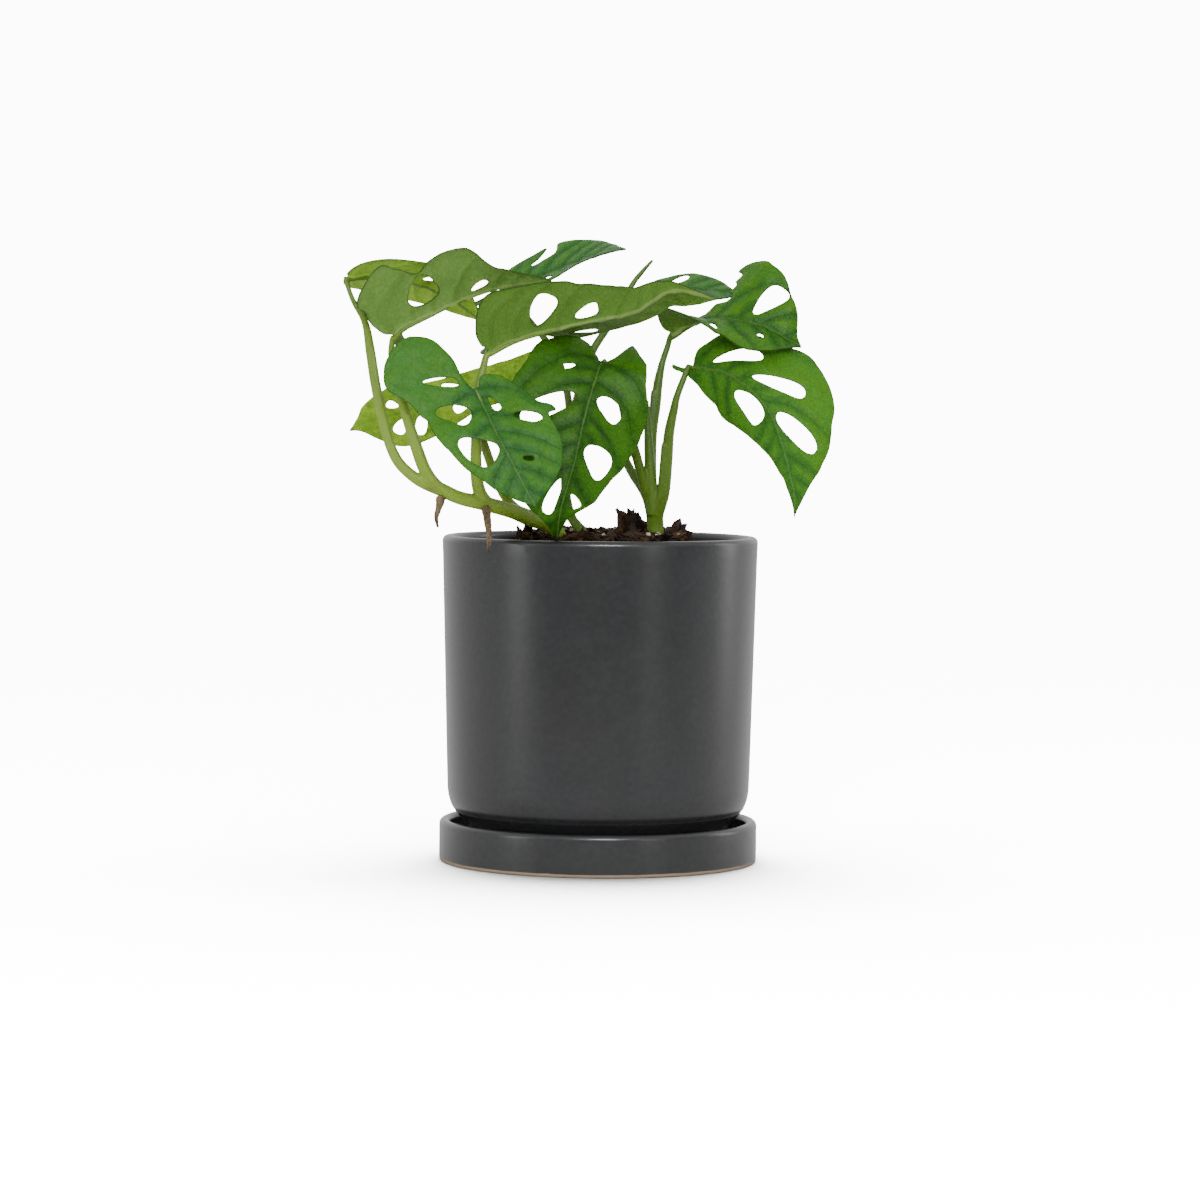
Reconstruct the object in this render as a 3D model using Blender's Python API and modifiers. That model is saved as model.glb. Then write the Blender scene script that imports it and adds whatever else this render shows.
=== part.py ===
"""A young monstera adansonii in a charcoal ceramic cylinder pot with its saucer.

Metres, +Z up. The origin is on the ground under the pot's axis. +X is to the right and +Y away
from the viewer. Sizes below are in millimetres and are scaled by MM where a mesh is made.
Run with: blender --background --python part.py
"""

import math
import random
from dataclasses import dataclass

import bmesh
import bpy
import numpy as np
from mathutils import Euler, Vector, noise
from mathutils.geometry import delaunay_2d_cdt

MM = 0.001
GAP = 0.3  # what touching pieces keep between them
MERGE = 0.00001

# Saucer
SAUCER_RADIUS = 65.6
SAUCER_HEIGHT = 17.0
SAUCER_WALL = 4.5
SAUCER_FLOOR = 6.2
SAUCER_FOOT_CHAMFER = 1.2
SAUCER_INNER_ROUND = 4.0

# Pot
POT_RIM_RADIUS = 65.0
POT_TOP = 134.0
POT_WALL = 4.5
POT_WAIST_RADIUS = 62.4  # where the straight taper ends above the foot
POT_WAIST_HEIGHT = 32.0
POT_SHOULDER_RADIUS = 59.3  # the crisp edge just over the saucer's lip
POT_SHOULDER_HEIGHT = 20.4
POT_FOOT_RADIUS = 50.0
POT_FOOT_WIDTH = 5.0
POT_FOOT_RECESS = 1.5
POT_UNDERCUT_END = 10.5
POT_FLOOR = 7.0
POT_DRAIN_RADIUS = 6.0
POT_INNER_ROUND = 8.0
POT_FLOOR_TAPER = 1.5  # how much narrower the inside is at the floor than at the waist
POT_SHOULDER_CURVE = ((0.35, 0.08), (0.7, 0.38), (0.9, 0.72))  # share down, share inward
TURN_STEPS = 48
ARC_STEPS = 3

# Soil: a nursery root ball on a lower fill
BALL_CENTRE = (1.0, -1.0)
BALL_RADIUS = 37.0
BALL_TOP = 133.0
BALL_SIDE = 121.0
FILL_TOP = 116.0
SOIL_STEPS = 32
SOIL_ROUGHNESS = 1.1
SOIL_LIFT = 1.6  # how much more the lumps rise than they bulge
SOIL_GRAIN = 9.0  # how far apart the lumps lie
BALL_CURVE = ((0.2, 0.6), (0.4, 0.6), (0.6, 0.6), (0.8, 0.0), (0.94, -2.5))  # share out, rise
FILL_RISE = 0.6
FILL_SLOPE = 4.0  # how far the fill climbs at the ball's foot, outward
FILL_RIM_GAP = 2.5
FILL_RIM_DROP = 2.0
FILL_WALL_GAP = 0.4
CHIP_COUNT = 18
CHIP_SEED = 11
CHIP_LENGTH = (5.0, 9.0)
CHIP_SHAPE = (0.62, 0.42)  # width and thickness against the length
CHIP_RAGGED = 0.22  # how far a corner is pushed about, against the length
CHIP_TILT = 25.0
CHIP_SPREAD = 0.9  # how far out on the ball the chips lie
CHIP_LIFT = 0.15  # how far a chip's middle stands above the ball, against its thickness
CHIP_STEM_CLEARANCE = 5.5
STEM_DEPTH = 16.0  # how far a stem goes into the soil
HOLE_SIDES = 14

# Stems
TUBE_SIDES_RESOLUTION = 2
TUBE_STEP = 7.0
ROOT_STEP = 3.5

# Blades
BLADE_THICKNESS = 0.7
EDGE_STEP = 4.5
RIB_STEP = 6.0
FIELD_STEP = 7.5
FIELD_CLEARANCE = 2.6
HOLE_POINTS = 9
BLADE_START = 0.9  # the blade starts this far past the end of its petiole
SINUS_HALF_WIDTH = 1.3

COLOURS = {
    "glaze": (0.065, 0.067, 0.071, 1.0),
    "soil": (0.030, 0.017, 0.010, 1.0),
    "blade": (0.065, 0.230, 0.030, 1.0),
    "stem": (0.270, 0.420, 0.090, 1.0),
    "root": (0.230, 0.150, 0.070, 1.0),
}
ROUGHNESS = {"glaze": 0.38, "soil": 0.95, "blade": 0.42, "stem": 0.45, "root": 0.8}


@dataclass(frozen=True)
class Hole:
    """A hole in a blade: its middle along and out from the rib, its length, width and lean."""

    half: str
    along: float
    out: float
    length: float
    width: float
    lean: float


@dataclass(frozen=True)
class Blade:
    """A leaf blade, drawn flat beside its rib and then bent along the rib's line in space.

    rib: points from the petiole to the tip. face: the way the upper side looks, base to tip.
    rise_left, rise_right: degrees that each half lifts off the flat, base to tip.
    left, right: margin points, each along the rib and out from it.
    wave: height, number and start of the margin's waves.
    """

    name: str
    rib: tuple
    face: tuple
    rise_left: tuple
    rise_right: tuple
    left: tuple
    right: tuple
    holes: tuple = ()
    half_width: float = 25.0
    wave: tuple = (0.0, 2.0, 0.0)


@dataclass(frozen=True)
class Stalk:
    """A round stalk through points in space, with its radius at each point."""

    points: tuple
    radii: tuple


BLADES = (
    # The large leaf at the front right, hanging with both halves folded down.
    Blade(
        name="leaf_front_right",
        rib=(
            (36, -12, 204.5), (52, -20, 201), (65.5, -30, 189), (72, -36, 175), (77.5, -40, 154.5),
            (78, -40, 143),
        ),
        face=((-0.2, -0.75, 0.65), (0, -0.9, 0.45), (0.3, -1, 0.1)),
        rise_left=(-8, -12, -10),
        rise_right=(-45, -50, -35),
        left=(
            (0, 5), (-1, 11), (3, 19), (8, 23), (14, 24), (22, 27), (31, 31), (42, 30), (54, 25),
            (62, 21), (71, 14), (77, 8), (83, 3),
        ),
        right=((2, 5), (8, 12), (16, 16), (25, 18), (34, 17.5), (49, 14), (59, 8.5), (70, 4.5), (80, 2)),
        holes=(
            Hole("left", 15, 11, 17, 6, 47), Hole("left", 34, 12, 20, 6.5, 39),
            Hole("left", 54, 8, 22, 8, 32), Hole("right", 34, 6, 19, 9, 5),
        ),
        half_width=26,
    ),
    # The leaf that hangs over the soil in the middle, its tip just above the rim.
    Blade(
        name="leaf_front_centre",
        rib=(
            (0.5, -36, 206), (-1.5, -43, 201.5), (-6.5, -54, 183.5), (-10.5, -61, 164.5),
            (-15.5, -63, 147.5), (-17.3, -54.5, 134.5),
        ),
        face=((0.1, -0.8, 0.6), (0.15, -0.98, 0.2), (0.1, -1, 0.05)),
        rise_left=(15, -20, -25, -10),
        rise_right=(5, -5, -8, 0),
        left=(
            (-1, 2.5), (-4, 4), (-9, 6.2), (-14.8, 8.4), (-11.5, 11), (-6, 14.5), (2, 18.5), (14, 22),
            (22, 25), (32, 25.5), (43, 23), (53, 18), (69, 10), (77, 3),
        ),
        right=(
            (-4, 4), (-9, 9), (-10, 15), (-6, 20), (4, 26), (14, 29), (24, 32), (36, 32.5), (46, 30.5),
            (55, 27), (63, 22), (70, 15), (76, 7),
        ),
        holes=(
            Hole("left", 23, 9, 13, 7, 62), Hole("left", 46, 10, 13, 12, 60),
            Hole("left", 66, 5, 7, 5, 40), Hole("right", 10, 12, 6, 2.2, 63),
            Hole("right", 29, 15, 25, 8, 54), Hole("right", 66, 4.5, 15, 4.5, 10),
        ),
        half_width=28,
    ),
    # The bluish leaf before the stems at the left, with one lobe curled up and back.
    Blade(
        name="leaf_front_left",
        rib=(
            (-50.3, -62, 195.2), (-47, -64.5, 188.5), (-43.5, -69.5, 181.5), (-36.5, -76, 168.5),
            (-25.5, -80, 148),
        ),
        face=((0, -0.75, 0.65), (0.1, -0.9, 0.45), (0.1, -0.95, 0.3)),
        rise_left=(-5, -5, -5, -5),
        rise_right=(0, 0, -5, -5),
        left=(
            (-3, 5), (-1, 12), (6, 17), (12, 22), (20, 27), (21, 23.5), (29, 23), (38, 22.5), (47, 17),
            (53, 8),
        ),
        right=(
            (-6, 3), (-16, 4), (-25, 8), (-29, 15), (-26, 24), (-19, 31), (-12, 33), (-3, 28), (6, 24),
            (19, 22), (28, 19), (36, 15), (44, 10.5), (50, 6),
        ),
        holes=(
            Hole("right", -6.4, 11.6, 14, 3.8, -70), Hole("right", 8.5, 12.5, 14, 9, -50),
            Hole("right", 27, 10, 15, 11, -42), Hole("left", 9.4, 4.5, 7, 3.2, 18),
            Hole("left", 19.6, 15, 11, 5, 57), Hole("left", 38, 7, 4.5, 2.2, 59),
        ),
        half_width=28,
    ),
    # The longest leaf, rolled so that its near half shows its underside.
    Blade(
        name="leaf_centre_long",
        rib=(
            (-46, -48, 208.5), (-35.5, -46, 214), (-24, -43, 217.5), (-5, -38, 222), (13, -34, 226),
            (28, -30, 234.5), (47, -26, 231.5),
        ),
        face=((0, 0.4, 0.92), (0, 0.4, 0.92), (0, 0.5, 0.87), (0, 0.7, 0.7)),
        rise_left=(32, 31, 8, 8, 0, -5),
        rise_right=(38, 38, 34, 30, 20),
        left=(
            (-1, 5), (0, 13), (6, 21), (16, 25), (30, 24), (44, 20), (56, 15), (66, 12), (78, 11),
            (90, 8), (97, 3),
        ),
        right=(
            (-1, 5), (-1, 11), (2, 17), (6, 22), (10, 24), (18, 22.5), (32, 21), (45, 17), (60, 12.5),
            (73, 8), (80, 4.5), (90, 1.5),
        ),
        holes=(
            Hole("right", 25, 10, 14, 9.5, 53), Hole("right", 43.5, 4.5, 10, 5.5, 10),
            Hole("left", 45, 12, 10, 4.5, 15),
        ),
        half_width=24,
    ),
    # The pale leaf at the upper left, its near half raised and its margin humped.
    Blade(
        name="leaf_upper_left",
        rib=(
            (-83.5, -50.5, 213.9), (-79.5, -50, 218.5), (-68.5, -48.5, 224), (-57, -46, 229.5),
            (-41, -42, 235), (-20.5, -38, 238),
        ),
        face=((0, 0.5, 0.87), (0, 0.45, 0.9), (0, 0.3, 0.95)),
        rise_left=(32, 31, 26, 15),
        rise_right=(35, 35, 25),
        left=((-1, 5), (0, 13), (5, 21), (14, 25), (25, 24), (36, 19), (47, 13), (58, 7), (66, 2.5)),
        right=(
            (-1, 4), (-1, 10), (1.5, 17), (4.5, 23), (8.5, 27.5), (13, 24), (19, 19), (25, 21.5),
            (31, 23), (37, 22), (40, 20), (44, 14), (48, 10), (56, 6.5), (65, 3),
        ),
        holes=(Hole("right", 18.5, 10.5, 13, 11, 20), Hole("right", 40.5, 3.5, 7, 3, 20)),
        half_width=26,
    ),
    # The upper right leaf, its far half raised behind the rib.
    Blade(
        name="leaf_upper_right",
        rib=(
            (28.5, 4, 217), (35.5, 0, 221.5), (43.5, -4, 224), (55, -6, 223.5), (66.5, -8, 220.5),
            (74.5, -10, 216.5), (81.5, -12, 212.5),
        ),
        face=((0, -0.2, 0.98), (0, -0.35, 0.94), (0, -0.4, 0.92), (0.1, -0.4, 0.9)),
        rise_left=(0, 0, 15, 45, 45, 20),
        rise_right=(70, 35, 0, -5, -5, 0),
        left=(
            (-1, 5), (1, 11), (8, 15), (17, 13), (24.5, 12), (26.2, 15), (24.6, 18), (26.6, 20.5),
            (26, 23.5), (28, 25.5), (26.4, 29.5), (30, 30.5), (36, 28), (42, 23.5), (46, 17), (51, 12),
            (56, 4),
        ),
        right=((-1, 5), (3, 12), (9, 17), (16, 16), (25, 17), (33, 20), (40, 21), (48, 18), (54, 10)),
        holes=(
            Hole("left", 40, 11.5, 15, 7, 67), Hole("right", 22.5, 10.5, 5, 2.5, 84),
            Hole("right", 43, 7, 4, 3, 37),
        ),
        half_width=24,
    ),
    # The yellowish leaf low at the back, pointing left.
    Blade(
        name="leaf_low_back",
        rib=(
            (-17.5, 26, 201.5), (-34, 23, 198), (-51, 19, 194.5), (-67, 14, 189), (-83, 9, 184),
            (-97, 5, 180), (-104, 4, 176.5),
        ),
        face=((0.1, -0.8, 0.6), (0, -0.85, 0.5), (-0.1, -0.9, 0.4)),
        rise_left=(0, 0, 0),
        rise_right=(0, -10, 0),
        left=(
            (-2, 4), (0, 7), (10, 8), (25, 9), (38, 10), (50, 12.5), (60, 15), (70, 16), (78, 13),
            (84, 8), (90, 2),
        ),
        right=(
            (-2, 4), (-3, 9), (2, 13), (12, 13), (22, 11.5), (32, 10.5), (45, 11), (58, 12.5),
            (68, 13.5), (76, 12), (84, 8), (90, 2),
        ),
        holes=(
            Hole("right", 72, 5, 5, 4, 40), Hole("left", 72, 6, 8, 5, 50), Hole("left", 64, 8, 9, 5, 60),
            Hole("left", 44, 5, 11, 4.5, 15), Hole("right", 45, 5.5, 8, 4, 25),
        ),
        half_width=18,
    ),
    # The highest leaf, with a slit that leaves a pointed finger on its far half.
    Blade(
        name="leaf_top_back",
        rib=((-42, 46, 234.5), (-28, 41, 241), (-13, 35, 247), (-1, 27, 251.5), (9.5, 18, 253)),
        face=((0, -0.5, 0.85), (0, -0.55, 0.83), (0, -0.5, 0.85)),
        rise_left=(10, 5, 0),
        rise_right=(30, 16, 14, 5),
        left=(
            (-3, 5), (-3, 11), (2, 14.5), (8, 16.5), (15, 18.5), (20, 19), (16.5, 14.5), (13.5, 11),
            (18.5, 11), (24, 13.5), (25, 19.5), (30, 19), (40, 15), (51, 7.5),
        ),
        right=((-6, 3), (-12, 6), (-13, 12), (-7, 17), (3, 19), (14, 18), (26, 15), (38, 12), (50, 6)),
        holes=(Hole("right", 22, 7, 9, 5, 40),),
        half_width=20,
    ),
    # The small leaf behind the long leaf's tip.
    Blade(
        name="leaf_right_back",
        rib=((18.5, 30, 237), (28, 24, 237), (40.5, 18, 236), (56, 12, 234)),
        face=((0, -0.3, 0.95), (0, -0.3, 0.95)),
        rise_left=(14, 12),
        rise_right=(0, 0),
        left=((-1, 3), (0, 7), (5, 11), (12, 13.5), (20, 13.5), (30, 10.5), (38, 5)),
        right=((-1, 3), (0, 8), (5, 13), (12, 16), (20, 16), (30, 12), (38, 6)),
        holes=(Hole("left", 12, 8, 9, 5, 50),),
        half_width=18,
    ),
    # The yellowish leaf at the far left, behind the upper left one.
    Blade(
        name="leaf_far_left",
        rib=((-103.5, -34, 239), (-91, -30, 239.5), (-74, -22, 236.5), (-60, -12, 230), (-49, -4, 222)),
        face=((0, 0.3, 0.95), (0, 0.35, 0.95), (0, 0.35, 0.95)),
        rise_left=(0, 0, 0),
        rise_right=(5, 5, 0),
        left=((0, 3), (1, 8), (6, 14), (16, 18), (30, 18), (42, 14), (54, 8), (62, 3)),
        right=((0, 3), (1, 8), (6, 14), (16, 18), (30, 18), (42, 14), (54, 8), (62, 3)),
        holes=(Hole("left", 24, 8, 9, 4, 50), Hole("right", 34, 8, 9, 4, 50)),
        half_width=22,
    ),
)

# The pale stem that leans over the rim to the left, and its four petioles.
VINE = (
    Stalk(
        points=(
            (-16.6, -20.6, 117), (-16.6, -20.6, 127), (-16.9, -20.8, 135), (-22, -26.5, 139.6),
            (-28.5, -33, 142),
            (-35.5, -40, 145), (-45.5, -49, 148), (-56, -54, 150.5), (-62, -56, 153.3), (-66, -56.5, 156),
        ),
        radii=(2.4, 2.6, 2.8, 3.1, 3.2, 2.9, 2.8, 2.6, 2.5, 1.8),
    ),
    Stalk(
        points=(
            (-60, -55.5, 152), (-70.3, -56, 156.4), (-76, -55, 160), (-81, -53, 165), (-84.7, -50, 172.5),
            (-88, -46, 184), (-90.8, -42, 196.3), (-93, -39, 209), (-95.3, -37, 220.4), (-100.2, -35.5, 229),
            (-103.6, -34.1, 238),
        ),
        radii=(2.2, 2.3, 2.1, 2.0, 1.9, 1.9, 1.9, 1.8, 1.3, 0.9, 0.8),
    ),
    Stalk(
        points=(
            (-61.5, -56, 152.5), (-67, -57, 157.3), (-70.3, -57.3, 162.4), (-73, -57.3, 169.5),
            (-76.4, -55, 179.4), (-79, -52.5, 187.3), (-81, -51.2, 193.2), (-83, -50.6, 201.2),
            (-84, -50.6, 208.3), (-83.5, -50.4, 214.1),
        ),
        radii=(2.0, 2.3, 2.4, 2.3, 2.0, 1.8, 1.6, 1.4, 1.1, 1.0),
    ),
    Stalk(
        points=(
            (-44, -48, 147.5), (-47.4, -50, 151), (-49, -51, 155.3), (-49.8, -52, 162.5), (-49.8, -53, 173.2),
            (-49.9, -53, 185.6), (-49.2, -52, 194.3), (-47.3, -49.6, 202.3), (-45.9, -47.7, 208.6),
        ),
        radii=(2.2, 2.5, 2.4, 2.2, 2.0, 1.8, 1.6, 1.4, 1.1),
    ),
    Stalk(
        points=(
            (-28.4, -33.5, 142), (-35.7, -36.5, 147.4), (-40.5, -38, 154.2), (-44.5, -41, 164.7),
            (-48, -47, 175.5), (-51, -54, 187), (-51.2, -61.1, 194.6),
        ),
        radii=(1.8, 1.8, 1.7, 1.7, 1.6, 1.4, 1.0),
    ),
)

# The upright stem at the right with its sheathed petioles.
CROWN = (
    Stalk(
        points=((22.4, -5.7, 117), (22.4, -5.7, 129), (22.7, -6, 136), (22.2, -6.5, 143), (21.8, -7, 150)),
        radii=(3.0, 3.6, 3.4, 3.3, 2.6),
    ),
    Stalk(
        points=(
            (22.9, -6, 136), (23.4, -8, 143), (25.9, -10, 152.4), (27, -12, 165.6), (27.7, -14, 176.6),
            (29.6, -15, 186.4), (30.8, -15, 191.8), (33.2, -14, 198.3), (35.3, -12.4, 203.9),
        ),
        radii=(2.6, 2.4, 2.3, 2.2, 2.0, 1.6, 1.3, 1.2, 1.0),
    ),
    Stalk(
        points=(
            (22.5, -6, 138), (21.1, -5, 147), (20.6, -3, 162.5), (20.9, -1, 176.4), (22.4, 0, 188),
            (23.2, 1, 196.6), (24.8, 2, 205), (27.2, 3.2, 212.7), (28.3, 3.9, 217.3),
        ),
        radii=(2.6, 2.2, 2.1, 2.0, 1.9, 1.8, 1.3, 1.1, 1.0),
    ),
    Stalk(
        points=(
            (22, -6.5, 138), (19.4, -8, 149), (14.3, -14, 167.6), (10.5, -20, 179.8), (7.5, -27, 192),
            (4, -31.5, 200), (1, -35.3, 205.6),
        ),
        radii=(2.2, 1.9, 1.8, 1.7, 1.6, 1.3, 1.0),
    ),
    Stalk(
        points=(
            (22.3, -4.5, 138), (18.5, 0, 150.9), (12.9, 6, 159.8), (5.7, 14, 173.2), (-3.9, 21, 187.6),
            (-11.5, 25, 197), (-16.9, 26.1, 201.2),
        ),
        radii=(2.0, 1.8, 1.7, 1.6, 1.5, 1.3, 1.0),
    ),
    Stalk(
        points=((21.5, -8.5, 143), (20.5, -9.6, 157.3), (19.4, -9, 173.6), (18.4, -7.5, 190)),
        radii=(2.6, 2.0, 1.3, 0.5),
    ),
)

# The stem behind the middle leaf: it carries two leaves at the back and a young rolled one.
BACK_STEM = (
    Stalk(
        points=(
            (-6.7, -14.1, 117), (-6.7, -14.1, 127), (-6.9, -14, 134.5), (-9, -12.4, 138), (-12, -10, 142),
            (-14.2, -6, 151), (-14.4, -2, 165), (-12, 2, 181.5), (-8.5, 6, 196), (-4, 10, 209.6),
            (2.4, 15, 220), (8.5, 22, 229.5), (13, 28.6, 234), (17.7, 30, 236.4),
        ),
        radii=(1.7, 1.8, 1.9, 1.9, 1.8, 1.8, 1.7, 1.7, 1.6, 1.5, 1.4, 1.2, 1.1, 0.9),
    ),
    Stalk(
        points=(
            (-12.5, 1.5, 179), (-14.5, 12, 194), (-19, 24, 208), (-29, 36, 221), (-38, 43.5, 230.5),
            (-42.3, 46.2, 234.1),
        ),
        radii=(1.5, 1.4, 1.3, 1.2, 1.1, 0.9),
    ),
    Stalk(
        points=((8, 20, 229), (12.5, 21.5, 238), (16.8, 22.5, 243.6), (20.9, 23.5, 248.2)),
        radii=(1.2, 1.0, 0.8, 0.4),
    ),
)

# Aerial roots, each hanging from a joint of the leaning stem.
ROOTS = {
    "aerial_root_left": Stalk(
        points=((-63.5, -56.4, 150.6), (-64.2, -57.8, 147), (-65.2, -59, 143), (-64.5, -60, 138.9)),
        radii=(1.6, 1.2, 0.9, 0.5),
    ),
    "aerial_root_right": Stalk(
        points=(
            (-45.6, -51.9, 146.1), (-45, -57.5, 142.2), (-44.3, -63, 138), (-44, -67.6, 133.4),
            (-44.4, -68.5, 128.7),
        ),
        radii=(1.5, 1.3, 1.1, 0.9, 0.5),
    ),
}

# Where a stem stands in the soil, and the hole's radius.
SOIL_HOLES = (
    ((-16.6, -20.6), 3.9),
    ((22.3, -5.6), 4.2),
    ((-6.7, -14.1), 2.7),
)

# The large pieces of bark on the root ball: place, size and turn in degrees.
CLUMPS = (
    ((-32.5, -8, 129), (5, 9, 17), (6, -4, 20)),
    ((13.5, 8, 134.5), (9, 7, 12), (10, 12, 30)),
    ((33, -3, 131.5), (9, 10, 11), (-8, 14, 15)),
)


def clear_scene():
    """Removes every object of the scene."""
    for old in list(bpy.data.objects):
        bpy.data.objects.remove(old, do_unlink=True)


def new_collection(name, parent=None):
    """Makes a collection under the scene's own, or under a parent."""
    made = bpy.data.collections.new(name)
    (parent or bpy.context.scene.collection).children.link(made)
    return made


def make_material(name):
    """A plain material in the colour and roughness of one finish."""
    material = bpy.data.materials.new(name)
    material.use_nodes = True
    shader = material.node_tree.nodes["Principled BSDF"]
    shader.inputs["Base Color"].default_value = COLOURS[name]
    shader.inputs["Roughness"].default_value = ROUGHNESS[name]
    shader.inputs["Metallic"].default_value = 0.0
    return material


def put(name, mesh, collection, material):
    """Puts a mesh in the scene as one named object."""
    made = bpy.data.objects.new(name, mesh)
    collection.objects.link(made)
    if material:
        mesh.materials.clear()
        mesh.materials.append(material)
    return made


def apply_modifiers(piece):
    """Replaces a piece's mesh by its evaluated mesh and drops the modifiers."""
    graph = bpy.context.evaluated_depsgraph_get()
    mesh = bpy.data.meshes.new_from_object(piece.evaluated_get(graph))
    piece.modifiers.clear()
    piece.data = mesh


def arc(centre, radius, start, end, steps=ARC_STEPS):
    """Points of an arc in the (radius, height) plane, angles in degrees, both ends included."""
    turns = [math.radians(start + (end - start) * i / steps) for i in range(steps + 1)]
    return [(centre[0] + radius * math.cos(t), centre[1] + radius * math.sin(t)) for t in turns]


def turned(name, profile, collection, material, steps=TURN_STEPS, closed=False):
    """A turned body: a profile of (radius, height) points swept round the Z axis."""
    mesh = bpy.data.meshes.new(name)
    points = [(r * MM, 0.0, z * MM) for r, z in profile]
    edges = [(i, i + 1) for i in range(len(points) - 1)]
    if closed:
        edges.append((len(points) - 1, 0))
    mesh.from_pydata(points, edges, [])
    body = put(name, mesh, collection, material)
    screw = body.modifiers.new("Turn", "SCREW")
    screw.axis = "Z"
    screw.steps = steps
    screw.render_steps = steps
    screw.use_merge_vertices = True
    screw.merge_threshold = MERGE
    screw.use_normal_calculate = False
    apply_modifiers(body)
    return body


def saucer_profile():
    """From the middle of the dish, out and up the inner wall, over the lip and down to the foot."""
    inner = SAUCER_RADIUS - SAUCER_WALL
    half = SAUCER_WALL / 2
    lip = SAUCER_HEIGHT - half
    points = [(0.0, SAUCER_FLOOR)]
    corner = (inner - SAUCER_INNER_ROUND, SAUCER_FLOOR + SAUCER_INNER_ROUND)
    points += arc(corner, SAUCER_INNER_ROUND, -90, 0)
    points += arc((inner + half, lip), half, 180, 0, 2 * ARC_STEPS)[:-1]
    points.append((SAUCER_RADIUS, lip))
    points.append((SAUCER_RADIUS, SAUCER_FOOT_CHAMFER))
    points.append((SAUCER_RADIUS - SAUCER_FOOT_CHAMFER, 0.0))
    points.append((0.0, 0.0))
    return points


def pot_profile():
    """The pot's closed section: floor at the drain, inner wall, lip, outer wall, foot, recess."""
    base = SAUCER_FLOOR + GAP
    floor = base + POT_FLOOR
    inner_top = POT_RIM_RADIUS - POT_WALL
    inner_low = POT_WAIST_RADIUS - POT_WALL
    points = [(POT_DRAIN_RADIUS, floor)]
    corner = (inner_low - POT_FLOOR_TAPER - POT_INNER_ROUND, floor + POT_INNER_ROUND)
    points += arc(corner, POT_INNER_ROUND, -90, 0)
    points.append((inner_low, POT_WAIST_HEIGHT))
    half = POT_WALL / 2
    points += arc((inner_top + half, POT_TOP - half), half, 180, 0, 2 * ARC_STEPS)
    points.append((POT_WAIST_RADIUS, POT_WAIST_HEIGHT))
    for share, dip in POT_SHOULDER_CURVE:
        height = POT_WAIST_HEIGHT + share * (POT_SHOULDER_HEIGHT - POT_WAIST_HEIGHT)
        radius = POT_WAIST_RADIUS + dip * (POT_SHOULDER_RADIUS - POT_WAIST_RADIUS)
        points.append((radius, height))
    points.append((POT_SHOULDER_RADIUS, POT_SHOULDER_HEIGHT))
    points.append((POT_FOOT_RADIUS, POT_UNDERCUT_END))
    points.append((POT_FOOT_RADIUS, base))
    points.append((POT_FOOT_RADIUS - POT_FOOT_WIDTH, base))
    points.append((POT_FOOT_RADIUS - POT_FOOT_WIDTH, base + POT_FOOT_RECESS))
    points.append((POT_DRAIN_RADIUS, base + POT_FOOT_RECESS))
    return points


def soil_profile():
    """The fill inside the pot and the root ball that stands on it, as one turned outline."""
    base = SAUCER_FLOOR + GAP
    floor = base + POT_FLOOR + GAP
    inner_low = POT_WAIST_RADIUS - POT_WALL - GAP
    inner_top = POT_RIM_RADIUS - POT_WALL - GAP
    share = (FILL_TOP - POT_WAIST_HEIGHT) / (POT_TOP - POT_WAIST_HEIGHT)
    wall = inner_low + share * (inner_top - inner_low)
    points = [(0.0, BALL_TOP)]
    points += [(BALL_RADIUS * share, BALL_TOP + rise) for share, rise in BALL_CURVE]
    points.append((BALL_RADIUS, BALL_SIDE))
    points.append((BALL_RADIUS + FILL_SLOPE, FILL_TOP + FILL_RISE))
    points.append(((BALL_RADIUS + FILL_SLOPE + wall) / 2, FILL_TOP + FILL_RISE))
    points.append((wall - FILL_RIM_GAP, FILL_TOP))
    points.append((wall - FILL_WALL_GAP, FILL_TOP - FILL_RIM_DROP))
    points.append((inner_low, POT_WAIST_HEIGHT))
    corner = (inner_low - POT_FLOOR_TAPER - POT_INNER_ROUND, floor + POT_INNER_ROUND)
    points += arc(corner, POT_INNER_ROUND, 0, -90)
    points.append((0.0, floor))
    return points


def smooth_path(points, step):
    """Points about one step apart on a smooth curve through the given points."""
    pts = np.array(points, float)
    pts = np.vstack([2 * pts[0] - pts[1], pts, 2 * pts[-1] - pts[-2]])
    out = []
    for a, b, c, d in zip(pts, pts[1:], pts[2:], pts[3:]):
        parts = max(2, round(float(np.linalg.norm(c - b)) / step))
        for t in np.arange(parts) / parts:
            cubic = (3 * b - a - 3 * c + d) * t**3
            out.append(0.5 * (2 * b + (c - a) * t + (2 * a - 5 * b + 4 * c - d) * t * t + cubic))
    out.append(pts[-2])
    return np.array(out)


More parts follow.
